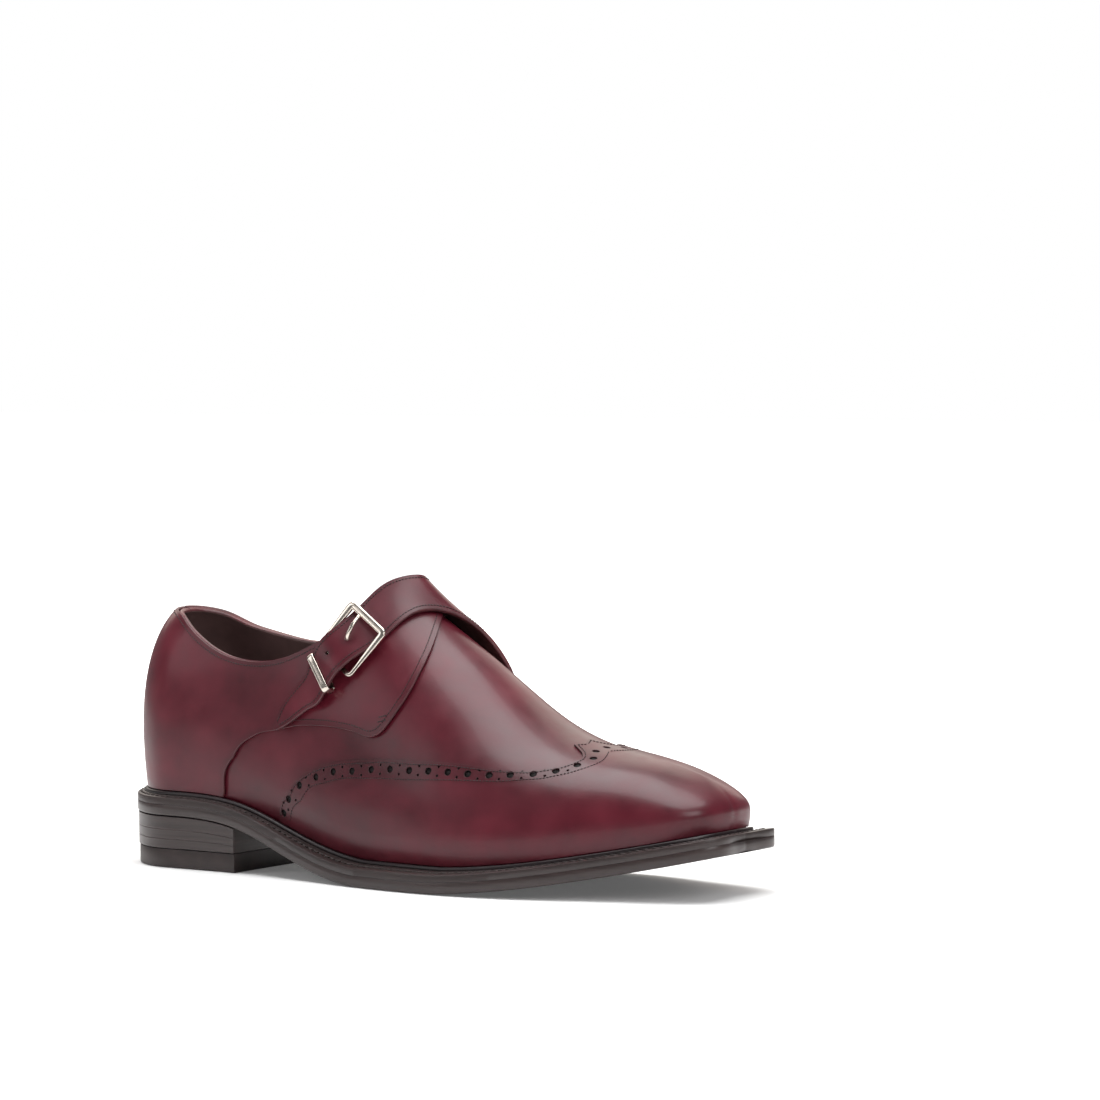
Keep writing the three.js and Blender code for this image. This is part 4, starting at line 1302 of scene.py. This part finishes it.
class ShoeBuckle(bpy.types.PropertyGroup):
    colour: bpy.props.FloatVectorProperty(
        name="Metal", description="Colour of the plated buckle", subtype="COLOR",
        default=(0.78, 0.7, 0.62), min=0, max=1)
    roughness: bpy.props.FloatProperty(
        name="Roughness", description="How matt the plating is", subtype="FACTOR",
        default=0.16, min=0.02, max=1)
    bar: bpy.props.FloatProperty(
        name="Bar", description="Width of the buckle's bars",
        default=0.003, min=0.001, max=0.004, unit="LENGTH")


class ShoeStage(bpy.types.PropertyGroup):
    floor: bpy.props.FloatVectorProperty(
        name="Floor", description="Colour of the floor", subtype="COLOR",
        default=(0.9, 0.9, 0.9), min=0, max=1)
    overhead: bpy.props.FloatProperty(
        name="Overhead light", description="Power of the large light above", default=24.0,
        min=0, max=500, unit="POWER")
    side: bpy.props.FloatProperty(
        name="Side light", description="Power of the light on the toe's side", default=3.2,
        min=0, max=500, unit="POWER")
    surround: bpy.props.FloatProperty(
        name="Surround", description="Brightness of the surroundings", default=0.2,
        min=0, max=5)
    behind: bpy.props.FloatProperty(
        name="Light behind", description="Power of the tall soft light behind the shoe",
        default=13.0, min=0, max=500, unit="POWER")


# ---------------------------------------------------------------- operators
class SHOE_OT_upper(bpy.types.Operator):
    """Vamp, counter and lining, as one shell with an open top line"""

    bl_idname = "shoe.upper"
    bl_label = "Upper shell"

    def execute(self, context):
        props = context.scene.shoe_leather
        runs = crowded_runs(SHELL_RUNS)
        rows = np.linspace(0, 1, 58)
        grids = []
        for side in (-1.0, 1.0):
            top = np.where(runs < run_at(CLOSED_CREST), collar_girth(runs, side, 0.0), 0.0)
            girth = side * (1 - rows[:, None] * (1 - top[None]))
            girth = np.where(np.abs(girth) < 1e-9, 0.0, girth)
            spread = np.broadcast_to(runs, girth.shape)
            grid = place(on_body(spread, girth, np.zeros(girth.shape)))
            if side < 0:
                grid[:, :, 1] = np.minimum(grid[:, :, 1], place([[0, 4, 0]])[0, 1])
            below = grid[:1].copy()
            below[..., 2] -= (FEATHER_RISE - OUTSOLE_THICK - 2 * GAP) * METRES
            grids.append(np.concatenate([below, grid]))
        outer, inner = grids
        outer[:, [0, -1], 1] = inner[:, [0, -1], 1] = place([[0, 0, 0]])[0, 1]
        levels, count = outer.shape[:2]
        points = np.concatenate([outer.reshape(-1, 3), inner.reshape(-1, 3)])
        faces = []
        half = levels * count
        for j in range(levels - 1):
            for i in range(count - 1):
                a, b = j * count + i, j * count + i + 1
                c, d = b + count, a + count
                faces.append([a, b, c, d])
                faces.append([half + b, half + a, half + d, half + c])
        calf = burgundy_calf("vamp_calf", props)
        lining = lining_leather("lining", (0.2, 0.115, 0.11), (0.1, 0.05, 0.048))
        rim = plain_leather("top_line_edge", (0.09, 0.018, 0.022), 0.42)
        obj = mesh_object("upper_shell", points, faces, [calf, lining, rim])
        weld_mesh(obj)
        attribute(obj, "cut", np.full(len(obj.data.vertices), 30.0))
        wall = obj.modifiers.new("wall", "SOLIDIFY")
        wall.thickness = UPPER_WALL * METRES
        wall.offset = -1
        wall.material_offset = 1
        wall.material_offset_rim = 2
        finish_piece(obj, "upper_leather", "upper")
        return {"FINISHED"}


def weld_mesh(obj, near=2e-6):
    work = bmesh.new()
    work.from_mesh(obj.data)
    bmesh.ops.remove_doubles(work, verts=work.verts, dist=near)
    bmesh.ops.dissolve_degenerate(work, edges=work.edges, dist=near / 4)
    work.to_mesh(obj.data)
    work.free()
    obj.data.update()


class SHOE_OT_wing_cap(bpy.types.Operator):
    """Wing cap with its perforated edge and swallow-tailed point"""

    bl_idname = "shoe.wing_cap"
    bl_label = "Wing cap"

    def execute(self, context):
        props = context.scene.shoe_leather
        sizes = context.scene.shoe_cap
        outline = cap_outline()
        big, small = hole_centres()
        big_radius = sizes.big_hole / METRES / 2
        small_radius = sizes.small_hole / METRES / 2
        holes = [disc_loop(cap_at, c, big_radius + 0.15, 18) for c in big]
        holes += [disc_loop(cap_at, c, small_radius + 0.1, 8) for c in small]

        def at_toe(points):
            return points[:, 0] > RUN_LENGTH - 1e-4

        sheet = Sheet()
        sheet.lay(cap_at, outline, holes, props.pitch / METRES, 0.16, at_foot, at_toe)
        calf = burgundy_calf("cap_calf", props)
        edge = plain_leather("cap_edge", (0.045, 0.008, 0.011), 0.5)
        finish_piece(sheet.build("wing_cap", [calf, edge, edge]), "upper_leather")
        # Painted shade: a near-black disc under each perforation stands in for the shade inside the hole.
        spots = []
        for centres, radius in ((big, big_radius), (small, small_radius)):
            normal = tangents(cap_at, centres)[2]
            along = tangents(cap_at, centres)[0]
            spots.append((
                cap_at(centres, 1.0) + normal * 0.02 * METRES, along, normal,
                np.full(len(centres), radius / big_radius)))
        dark = plain_leather("hole_painted_shade", (0.006, 0.003, 0.003), 0.8)
        hole_shade_discs = scatter(
            "wing_hole_painted_shade", "disc", dark, spots, sizes.big_hole / METRES + 0.7, 0.3)
        finish_piece(hole_shade_discs, "upper_leather")
        return {"FINISHED"}


class SHOE_OT_quarters(bpy.types.Operator):
    """Outer quarter with its flap, and inner quarter that runs on into the punched strap"""

    bl_idname = "shoe.quarters"
    bl_label = "Quarters and strap"

    def execute(self, context):
        props = context.scene.shoe_leather
        pitch = props.pitch / METRES
        calf = burgundy_calf("quarter_calf", props)
        edge = plain_leather("cut_edge", (0.085, 0.022, 0.026), 0.45)
        flesh = plain_leather("flesh_side", (0.075, 0.03, 0.028), 0.7)
        outline, _ = quarter_outline(-1)

        def plain(points):
            return at_foot(points) | (points[:, 0] < BACK_SEAM * RUN_LENGTH + 0.2)

        sheet = Sheet()
        sheet.lay(lateral_at, outline, [], pitch, 0.25, plain, nowhere)
        finish_piece(
            sheet.build("lateral_quarter_panel", [calf, edge, flesh]), "upper_leather",
            "lateral_quarter")

        outline, _ = quarter_outline(1)

        def at_root(points):
            x = x_at(points[:, 0] / RUN_LENGTH)
            girth = root_girth((x - ROOT_REAR) / ROOT_LENGTH)
            near = np.abs(points[:, 1] / GIRTH_LENGTH - girth) < 2e-4
            return near & (x > ROOT_REAR - 0.1) & (x < ROOT_REAR + ROOT_LENGTH + 0.1)

        def at_strap_root(points):
            return points[:, 0] < 1e-4

        sheet = Sheet()
        sheet.lay(medial_at, outline, [], pitch, 0.25, plain, at_root)
        across = np.linspace(0, 1, ROOT_POINTS)
        root = np.stack([np.zeros(ROOT_POINTS), across * STRAP_WIDTH], 1)
        tip = np.stack([np.full(8, STRAP_LENGTH), np.linspace(STRAP_WIDTH, 0, 8)], 1)
        front = even(np.array([root[-1], tip[0]]), 0.9)[1:-1]
        rear = even(np.array([tip[-1], root[0]]), 0.9)[1:-1]
        outline = np.concatenate([root, front, tip, rear])
        holes = [disc_loop(strap_at, spot, STRAP_HOLE_RADIUS, 16) for spot in strap_holes()]
        sheet.lay(strap_at, outline[::-1], holes, 1.5, 0.3, nowhere, at_strap_root)
        finish_piece(
            sheet.build("medial_quarter_strap_panel", [calf, edge, flesh]), "upper_leather",
            "medial_quarter_strap")
        return {"FINISHED"}


def strap_holes():
    """The strap chart's points that lie nearest to the holes' places."""
    targets = place(STRAP_HOLES)
    u, v = np.meshgrid(np.linspace(0, STRAP_LENGTH, 400), np.linspace(0.3, 0.7, 21) * STRAP_WIDTH)
    grid = np.stack([u.ravel(), v.ravel()], 1)
    spots = strap_at(grid)
    return [grid[np.linalg.norm(spots - t, axis=1).argmin()] for t in targets]


# How far in from the leather's edge the rows of stitches run
WING_INSET = 1.1
FLAP_INSET = 2.2
TOP_LINE_INSET = 1.7
STRAP_INSET = 1.5
TOP_ROW_END = {-1: 127.0, 1: 111.0}  # x where the top line's row ends on each side
TACK = [(147.2, 0.478), (151.2, 0.462)]  # the short double tack at the flap's corner


class SHOE_OT_stitching(bpy.types.Operator):
    """Rows of stitches on the cap, the quarters and the strap"""

    bl_idname = "shoe.stitching"
    bl_label = "Upper stitching"

    def execute(self, context):
        props = context.scene.shoe_stitching
        pitch = props.pitch / METRES
        size = (props.length / METRES, props.thickness / METRES)
        thread = waxed_thread("upper_thread", tuple(props.colour))
        outer, inner, cut_in, cut_out = wing_lines()
        rows = []
        for parts in ((inner, cut_in), (cut_out[:-1], outer[::-1])):
            line = inside_line(cap_at, np.concatenate(parts), WING_INSET)
            rows.append(stitch_row(cap_at, line, pitch))
        for side in (-1, 1):
            line = curve_through(chart(wing_rows(WING_INNER_ROW, side))) * np.array([1, side])
            rows.append(stitch_row(cap_at, line, pitch))
        finish_piece(scatter("wing_stitching", "thread", thread, rows, *size), None)

        rows = []
        for side, at in ((-1, lateral_at), (1, medial_at)):
            _, front = quarter_outline(side)
            x = x_at(front[:, 0] / RUN_LENGTH)
            line = front[(x > 93) & (np.abs(front[:, 1]) > 0.02 * GIRTH_LENGTH)]
            rows.append(stitch_row(at, inside_line(at, line, -FLAP_INSET * side), pitch))
            runs = np.linspace(BACK_SEAM * 4, run_at(TOP_ROW_END[side]), 200)
            girth = collar_girth(runs, side, COLLAR_STEP)
            line = np.stack([runs * RUN_LENGTH, side * girth * GIRTH_LENGTH], 1)
            rows.append(stitch_row(at, inside_line(at, line, TOP_LINE_INSET * side), pitch))
            corner = chart(TACK, side)
            for nudge in (0, 1.3):
                tack = even(corner + [0, -side * nudge], 0.5)
                rows.append(stitch_row(at, tack, pitch * 0.7))
        finish_piece(scatter("quarter_stitching", "thread", thread, rows, *size), None)

        rows = []
        for direction in (1, -1):
            u = np.linspace(2, STRAP_LENGTH - 3, 300)
            width = np.linalg.norm(
                strap_at(np.stack([u, np.full(300, STRAP_WIDTH)], 1)) - strap_at(
                    np.stack([u, np.zeros(300)], 1)), axis=1) / METRES
            inset = np.clip(STRAP_INSET / width, 0, 0.42) * STRAP_WIDTH
            line = np.stack([u, inset if direction > 0 else STRAP_WIDTH - inset], 1)
            rows.append(stitch_row(strap_at, line, pitch))
        finish_piece(scatter("strap_stitching", "thread", thread, rows, *size), None)
        return {"FINISHED"}


class SHOE_OT_welt(bpy.types.Operator):
    """Welt with its raised rib and its row of heavy stitches"""

    bl_idname = "shoe.welt"
    bl_label = "Welt"

    def execute(self, context):
        sole = context.scene.shoe_sole
        props = context.scene.shoe_stitching
        edge = layered_sole("welt_leather", tuple(c * 0.85 for c in sole.edge), 0.42)
        obj = tube_ring("welt_strip", welt_sections(WELT_PROFILE, 240), [edge], 38)
        finish_piece(obj, "welt_leather", "welt")
        dark = plain_leather("rib_leather", (0.012, 0.0045, 0.006), 0.36)
        obj = tube_ring("welt_rib", welt_sections(RIB_PROFILE, 240), [dark], 80)
        finish_piece(obj, "welt_leather")
        path = np.array(welt_sections(WELT_ROW, 900))[:, 0]
        path = np.concatenate([path, path[:1]])
        lengths = run_lengths(path) / METRES
        pitch = props.welt_pitch / METRES
        count = int(lengths[-1] / pitch)
        marks = np.arange(count) * lengths[-1] / count
        spots = np.stack([np.interp(marks, lengths, c) for c in path.T], 1)
        ahead = np.stack([np.interp((marks + 1) % lengths[-1], lengths, c) for c in path.T], 1)
        ways = unit(ahead - spots)
        up = np.tile([0, 0, 1.0], (count, 1))
        slant = math.radians(WELT_SLANT)
        lean = ways * math.cos(slant) + np.cross(up, ways) * math.sin(slant)
        thread = waxed_thread("welt_thread", (0.035, 0.022, 0.02))
        obj = scatter(
            "welt_stitching", "thread", thread, [(spots, lean, up, np.ones(count))],
            pitch * 0.86, 1.05)
        finish_piece(obj, None)
        return {"FINISHED"}


class SHOE_OT_sole(bpy.types.Operator):
    """Outsole, stacked heel, top lift and the sock inside"""

    bl_idname = "shoe.sole"
    bl_label = "Sole and heel"

    def execute(self, context):
        sole = context.scene.shoe_sole
        edge = layered_sole("sole_edge_stain", tuple(sole.edge), 0.36)
        runs = crowded_runs(SHELL_RUNS)

        def level(inset, lift, chosen=runs, row=sole_at):
            return ring_at(
                chosen, lambda r, s: edge_points(r, s, inset, row), lambda x: ground(x) + lift)

        rings = [level(*row) for row in OUTSOLE_PROFILE]
        finish_piece(stack("outsole_leather", rings, len(runs), [edge], 50), "sole_leather", "outsole")

        end = breast_run()
        heel_runs = np.linspace(0, end, 90)
        groove = sole.groove / METRES
        lift_line = layered_sole("heel_lift_stain", tuple(sole.edge), 0.36, 0.1)

        def heel_ring(inset, share):
            def height(x):
                low = TOP_LIFT_THICK + GAP
                return low + share * (ground(x) - GAP - low)

            return ring_at(heel_runs, lambda r, s: edge_points(r, s, inset, sole_at), height)

        rings = [heel_ring(0.75, 0)]
        for low, high in HEEL_LIFTS:
            rings += [
                heel_ring(0.4 + groove, low + 0.004), heel_ring(0.4, low + 0.02),
                heel_ring(0.4, high - 0.02), heel_ring(0.4 + groove, high - 0.004)]
        rings.append(heel_ring(0.75, 1))
        finish_piece(
            stack("heel_stack", rings, len(heel_runs), [lift_line], 30), "sole_leather", "heel_block")

        rubber = plain_leather("top_lift_rubber", tuple(c * 0.85 for c in sole.edge), 0.45, 700)

        def lift_ring(inset, height):
            return ring_at(
                heel_runs, lambda r, s: edge_points(r, s, inset, sole_at),
                lambda x: np.full(len(x), height))

        rings = [lift_ring(*row) for row in TOP_LIFT_PROFILE]
        finish_piece(
            stack("top_lift_piece", rings, len(heel_runs), [rubber], 40), "top_lift_rubber", "top_lift")

        sock = plain_leather("sock_leather", (0.05, 0.031, 0.026), 0.5, 700)
        base = OUTSOLE_THICK + 2 * GAP
        rings = [
            level(UPPER_WALL + inset, base + height, runs, upper_at)
            for inset, height in SOCK_PROFILE]
        finish_piece(stack("sock_lining", rings, len(runs), [sock], 60), "insole_leather", "insole")
        return {"FINISHED"}


class SHOE_OT_buckle(bpy.types.Operator):
    """Buckle frame, prong with its hinge and the strap's keeper"""

    bl_idname = "shoe.buckle"
    bl_label = "Buckle"

    def execute(self, context):
        props = context.scene.shoe_buckle
        metal = nickel("warm_nickel", tuple(props.colour), props.roughness)
        centre, axes, width, height = buckle_axes()
        bar = props.bar / METRES
        section = superellipse(bar, 1.9, 3.0, 20)
        obj = flat_ring(
            "buckle_frame_metal", centre, axes, width, height, 1.6, section, [metal],
            lambda share: 0.68 + 0.42 * smooth(share * 1.1 - 0.1))
        finish_piece(obj, "buckle_metal", "buckle_frame")

        local = curve_through(PRONG, 0.5)
        path = centre + local @ axes
        radii = np.interp(np.linspace(0, 1, len(path)), *zip(*PRONG_RADII))
        points, faces = rod(path, radii)
        hinge = even(np.array([
            (PRONG[0][0] - HINGE_HALF, -height / 2, 0), (PRONG[0][0] + HINGE_HALF, -height / 2, 0),
        ]), 0.5)
        barrel, barrel_faces = rod(centre + hinge @ axes, [HINGE_RADIUS] * len(hinge), 18)
        faces += [[q + len(points) for q in face] for face in barrel_faces]
        obj = mesh_object(
            "buckle_prong_metal", place(np.concatenate([points, barrel])), faces, [metal])
        recalculate(obj)
        finish_piece(obj, "buckle_metal", "buckle_prong")

        along, skew = KEEPER_ALONG * STRAP_LENGTH, KEEPER_SKEW * STRAP_LENGTH
        spot = np.array([[along, 0.5 * STRAP_WIDTH]])
        face, back = strap_at(spot, 0.0)[0], strap_at(spot, 1.0)[0]
        ends = strap_at(np.array([[along - skew, 0], [along + skew, STRAP_WIDTH]]))
        x = unit(ends[1] - ends[0])
        z = unit(np.cross(x, face - back))
        y = np.cross(z, x)
        section = superellipse(KEEPER_WALL, KEEPER_BAND, 3.4, 20)
        middle = (face / METRES + CENTRE) + unit(back - face) * (KEEPER_DEPTH / 2 - KEEPER_REACH)
        obj = flat_ring(
            "strap_keeper_metal", middle, np.stack([x, y, z]), KEEPER_SPAN,
            KEEPER_DEPTH - KEEPER_WALL, 1.5, section, [metal])
        finish_piece(obj, "buckle_metal", "strap_keeper")
        return {"FINISHED"}


def recalculate(obj):
    work = bmesh.new()
    work.from_mesh(obj.data)
    bmesh.ops.recalc_face_normals(work, faces=work.faces)
    work.to_mesh(obj.data)
    work.free()


# ---------------------------------------------------------------- stage and camera
WARM = (1.0, 0.9, 0.8)
FLOOR_HALF = 6.0
FLOOR_DROP = 2e-4  # the floor lies this far under the sole
GLOW_NEAR, GLOW_FAR = 0.22, 0.8  # the floor brightens between these distances from the shoe
VIEW_AZIMUTH = 35.0
VIEW_ELEVATION = 5.6
VIEW_DISTANCE = 2.15
VIEW_ROLL = -0.6
VIEW_TARGET = Vector((-0.0007, 0.0039, 0.04))
TARGET_RIGHT = -0.101455  # where the target lies from the frame's middle, as shares of its width
TARGET_UP = -0.210182
LENS_LENGTH = 167.07
SENSOR_WIDTH = 36.0


class SHOE_OT_stage(bpy.types.Operator):
    """Pale floor, soft lights, pale surroundings and the camera"""

    bl_idname = "shoe.stage"
    bl_label = "Stage"

    def execute(self, context):
        props = context.scene.shoe_stage
        corners = [
            (x * FLOOR_HALF, y * FLOOR_HALF, -FLOOR_DROP) for x, y in ((-1, -1), (1, -1), (1, 1), (-1, 1))]
        floor = mesh_object("floor", corners, [[0, 1, 2, 3]], [])
        nodes = Nodes("floor_white")
        nodes.set(Roughness=0.85)
        base = tuple(props.floor)
        nodes.colour(nodes.ramp(nodes.noise(2, 2), [(0.3, tuple(c * 0.99 for c in base)), (0.7, base)]))
        # Painted light: the floor glows for camera rays, faintly near the shoe and fully from GLOW_FAR out,
        # so that it reads white.
        reach = nodes.add("ShaderNodeVectorMath", operation="LENGTH")
        nodes.join(nodes.place, reach.inputs[0])
        nodes.shader.inputs["Emission Color"].default_value = (1, 1, 1, 1)
        glow = nodes.reading(reach.outputs["Value"], GLOW_NEAR, GLOW_FAR, 0.1, 1.0)
        seen = nodes.add("ShaderNodeLightPath").outputs["Is Camera Ray"]
        nodes.join(nodes.maths("MULTIPLY", glow, seen), nodes.shader.inputs["Emission Strength"])
        floor.data.materials.append(nodes.material)

        light("overhead", (0.0, 0.05, 1.2), (0, 0, 0.05), (1.5, 1.0), props.overhead)
        light("behind", (-0.86, 1.23, 0.95), (0, 0, 0.06), (2.4, 1.1), props.behind, WARM)
        light("toe_side", (0.95, -0.35, 0.6), (0.1, 0, 0.04), (0.5, 0.5), props.side)
        light("heel_side", (-0.9, -0.9, 0.7), (-0.05, 0, 0.05), (0.5, 0.7), props.side * 0.6)
        world = bpy.data.worlds.new("pale_surround")
        world.use_nodes = True
        tree = world.node_tree
        seen = tree.nodes["Background"]
        seen.inputs["Color"].default_value = (1, 1, 1, 1)
        seen.inputs["Strength"].default_value = 1.0
        felt = tree.nodes.new("ShaderNodeBackground")
        felt.inputs["Color"].default_value = (0.97, 0.98, 1, 1)
        felt.inputs["Strength"].default_value = props.surround
        path = tree.nodes.new("ShaderNodeLightPath")
        choice = tree.nodes.new("ShaderNodeMixShader")
        tree.links.new(path.outputs["Is Camera Ray"], choice.inputs[0])
        tree.links.new(felt.outputs[0], choice.inputs[1])
        tree.links.new(seen.outputs[0], choice.inputs[2])
        tree.links.new(choice.outputs[0], tree.nodes["World Output"].inputs["Surface"])
        context.scene.world = world
        context.scene.view_settings.view_transform = "Standard"
        camera(context.scene)
        return {"FINISHED"}


def light(name, spot, aim, size, power, colour=(1, 1, 1)):
    data = bpy.data.lights.new(name, "AREA")
    data.shape = "RECTANGLE"
    data.size, data.size_y = size
    data.energy = power
    data.color = colour
    obj = bpy.data.objects.new(name, data)
    obj.location = spot
    obj.rotation_euler = (Vector(aim) - Vector(spot)).to_track_quat("-Z", "Y").to_euler()
    obj.visible_camera = False
    bpy.context.scene.collection.objects.link(obj)


def camera(scene):
    """The target lies off the frame's middle by a turn of the camera, and not by a shift."""
    azimuth, elevation = math.radians(VIEW_AZIMUTH), math.radians(VIEW_ELEVATION)
    back = Vector((
        math.sin(azimuth) * math.cos(elevation), -math.cos(azimuth) * math.cos(elevation),
        math.sin(elevation)))
    right = Vector((math.cos(azimuth), math.sin(azimuth), 0))
    up = back.cross(right)
    roll = math.radians(VIEW_ROLL)
    rolled_right = right * math.cos(roll) + up * math.sin(roll)
    rolled_up = up * math.cos(roll) - right * math.sin(roll)
    axes = Matrix((rolled_right, rolled_up, back)).transposed()
    seen = Vector((TARGET_RIGHT, TARGET_UP, -LENS_LENGTH / SENSOR_WIDTH)).normalized()
    turn = seen.rotation_difference(Vector((0, 0, -1))).to_matrix()
    data = bpy.data.cameras.new("camera")
    data.sensor_width = SENSOR_WIDTH
    data.lens = LENS_LENGTH
    data.clip_end = 50
    obj = bpy.data.objects.new("camera", data)
    obj.matrix_world = Matrix.Translation(VIEW_TARGET + back * VIEW_DISTANCE) @ (axes @ turn).to_4x4()
    scene.collection.objects.link(obj)
    scene.camera = obj


class SHOE_PT_panel(bpy.types.Panel):
    """Buttons for the shoe's pieces"""

    bl_idname = "SHOE_PT_panel"
    bl_label = "Monk strap shoe"
    bl_space_type = "VIEW_3D"
    bl_region_type = "UI"
    bl_category = "Shoe"

    def draw(self, context):
        for operator in OPERATORS:
            self.layout.operator(operator.bl_idname)
        for name, group in SETTINGS.items():
            box = self.layout.box()
            for key in group.__annotations__:
                box.prop(getattr(context.scene, name), key)


OPERATORS = (
    SHOE_OT_upper, SHOE_OT_wing_cap, SHOE_OT_quarters, SHOE_OT_stitching, SHOE_OT_welt,
    SHOE_OT_sole, SHOE_OT_buckle, SHOE_OT_stage,
)
SETTINGS = {
    "shoe_leather": ShoeLeather,
    "shoe_stitching": ShoeStitching,
    "shoe_cap": ShoeCap,
    "shoe_sole": ShoeSole,
    "shoe_buckle": ShoeBuckle,
    "shoe_stage": ShoeStage,
}


def register():
    for name, group in SETTINGS.items():
        bpy.utils.register_class(group)
        setattr(bpy.types.Scene, name, bpy.props.PointerProperty(type=group))
    for cls in (*OPERATORS, SHOE_PT_panel):
        bpy.utils.register_class(cls)


def unregister():
    for cls in (SHOE_PT_panel, *reversed(OPERATORS)):
        bpy.utils.unregister_class(cls)
    for name, group in SETTINGS.items():
        delattr(bpy.types.Scene, name)
        bpy.utils.unregister_class(group)


def main():
    register()
    for operator in OPERATORS:
        group, name = operator.bl_idname.split(".")
        getattr(getattr(bpy.ops, group), name)()


if __name__ == "__main__":
    main()
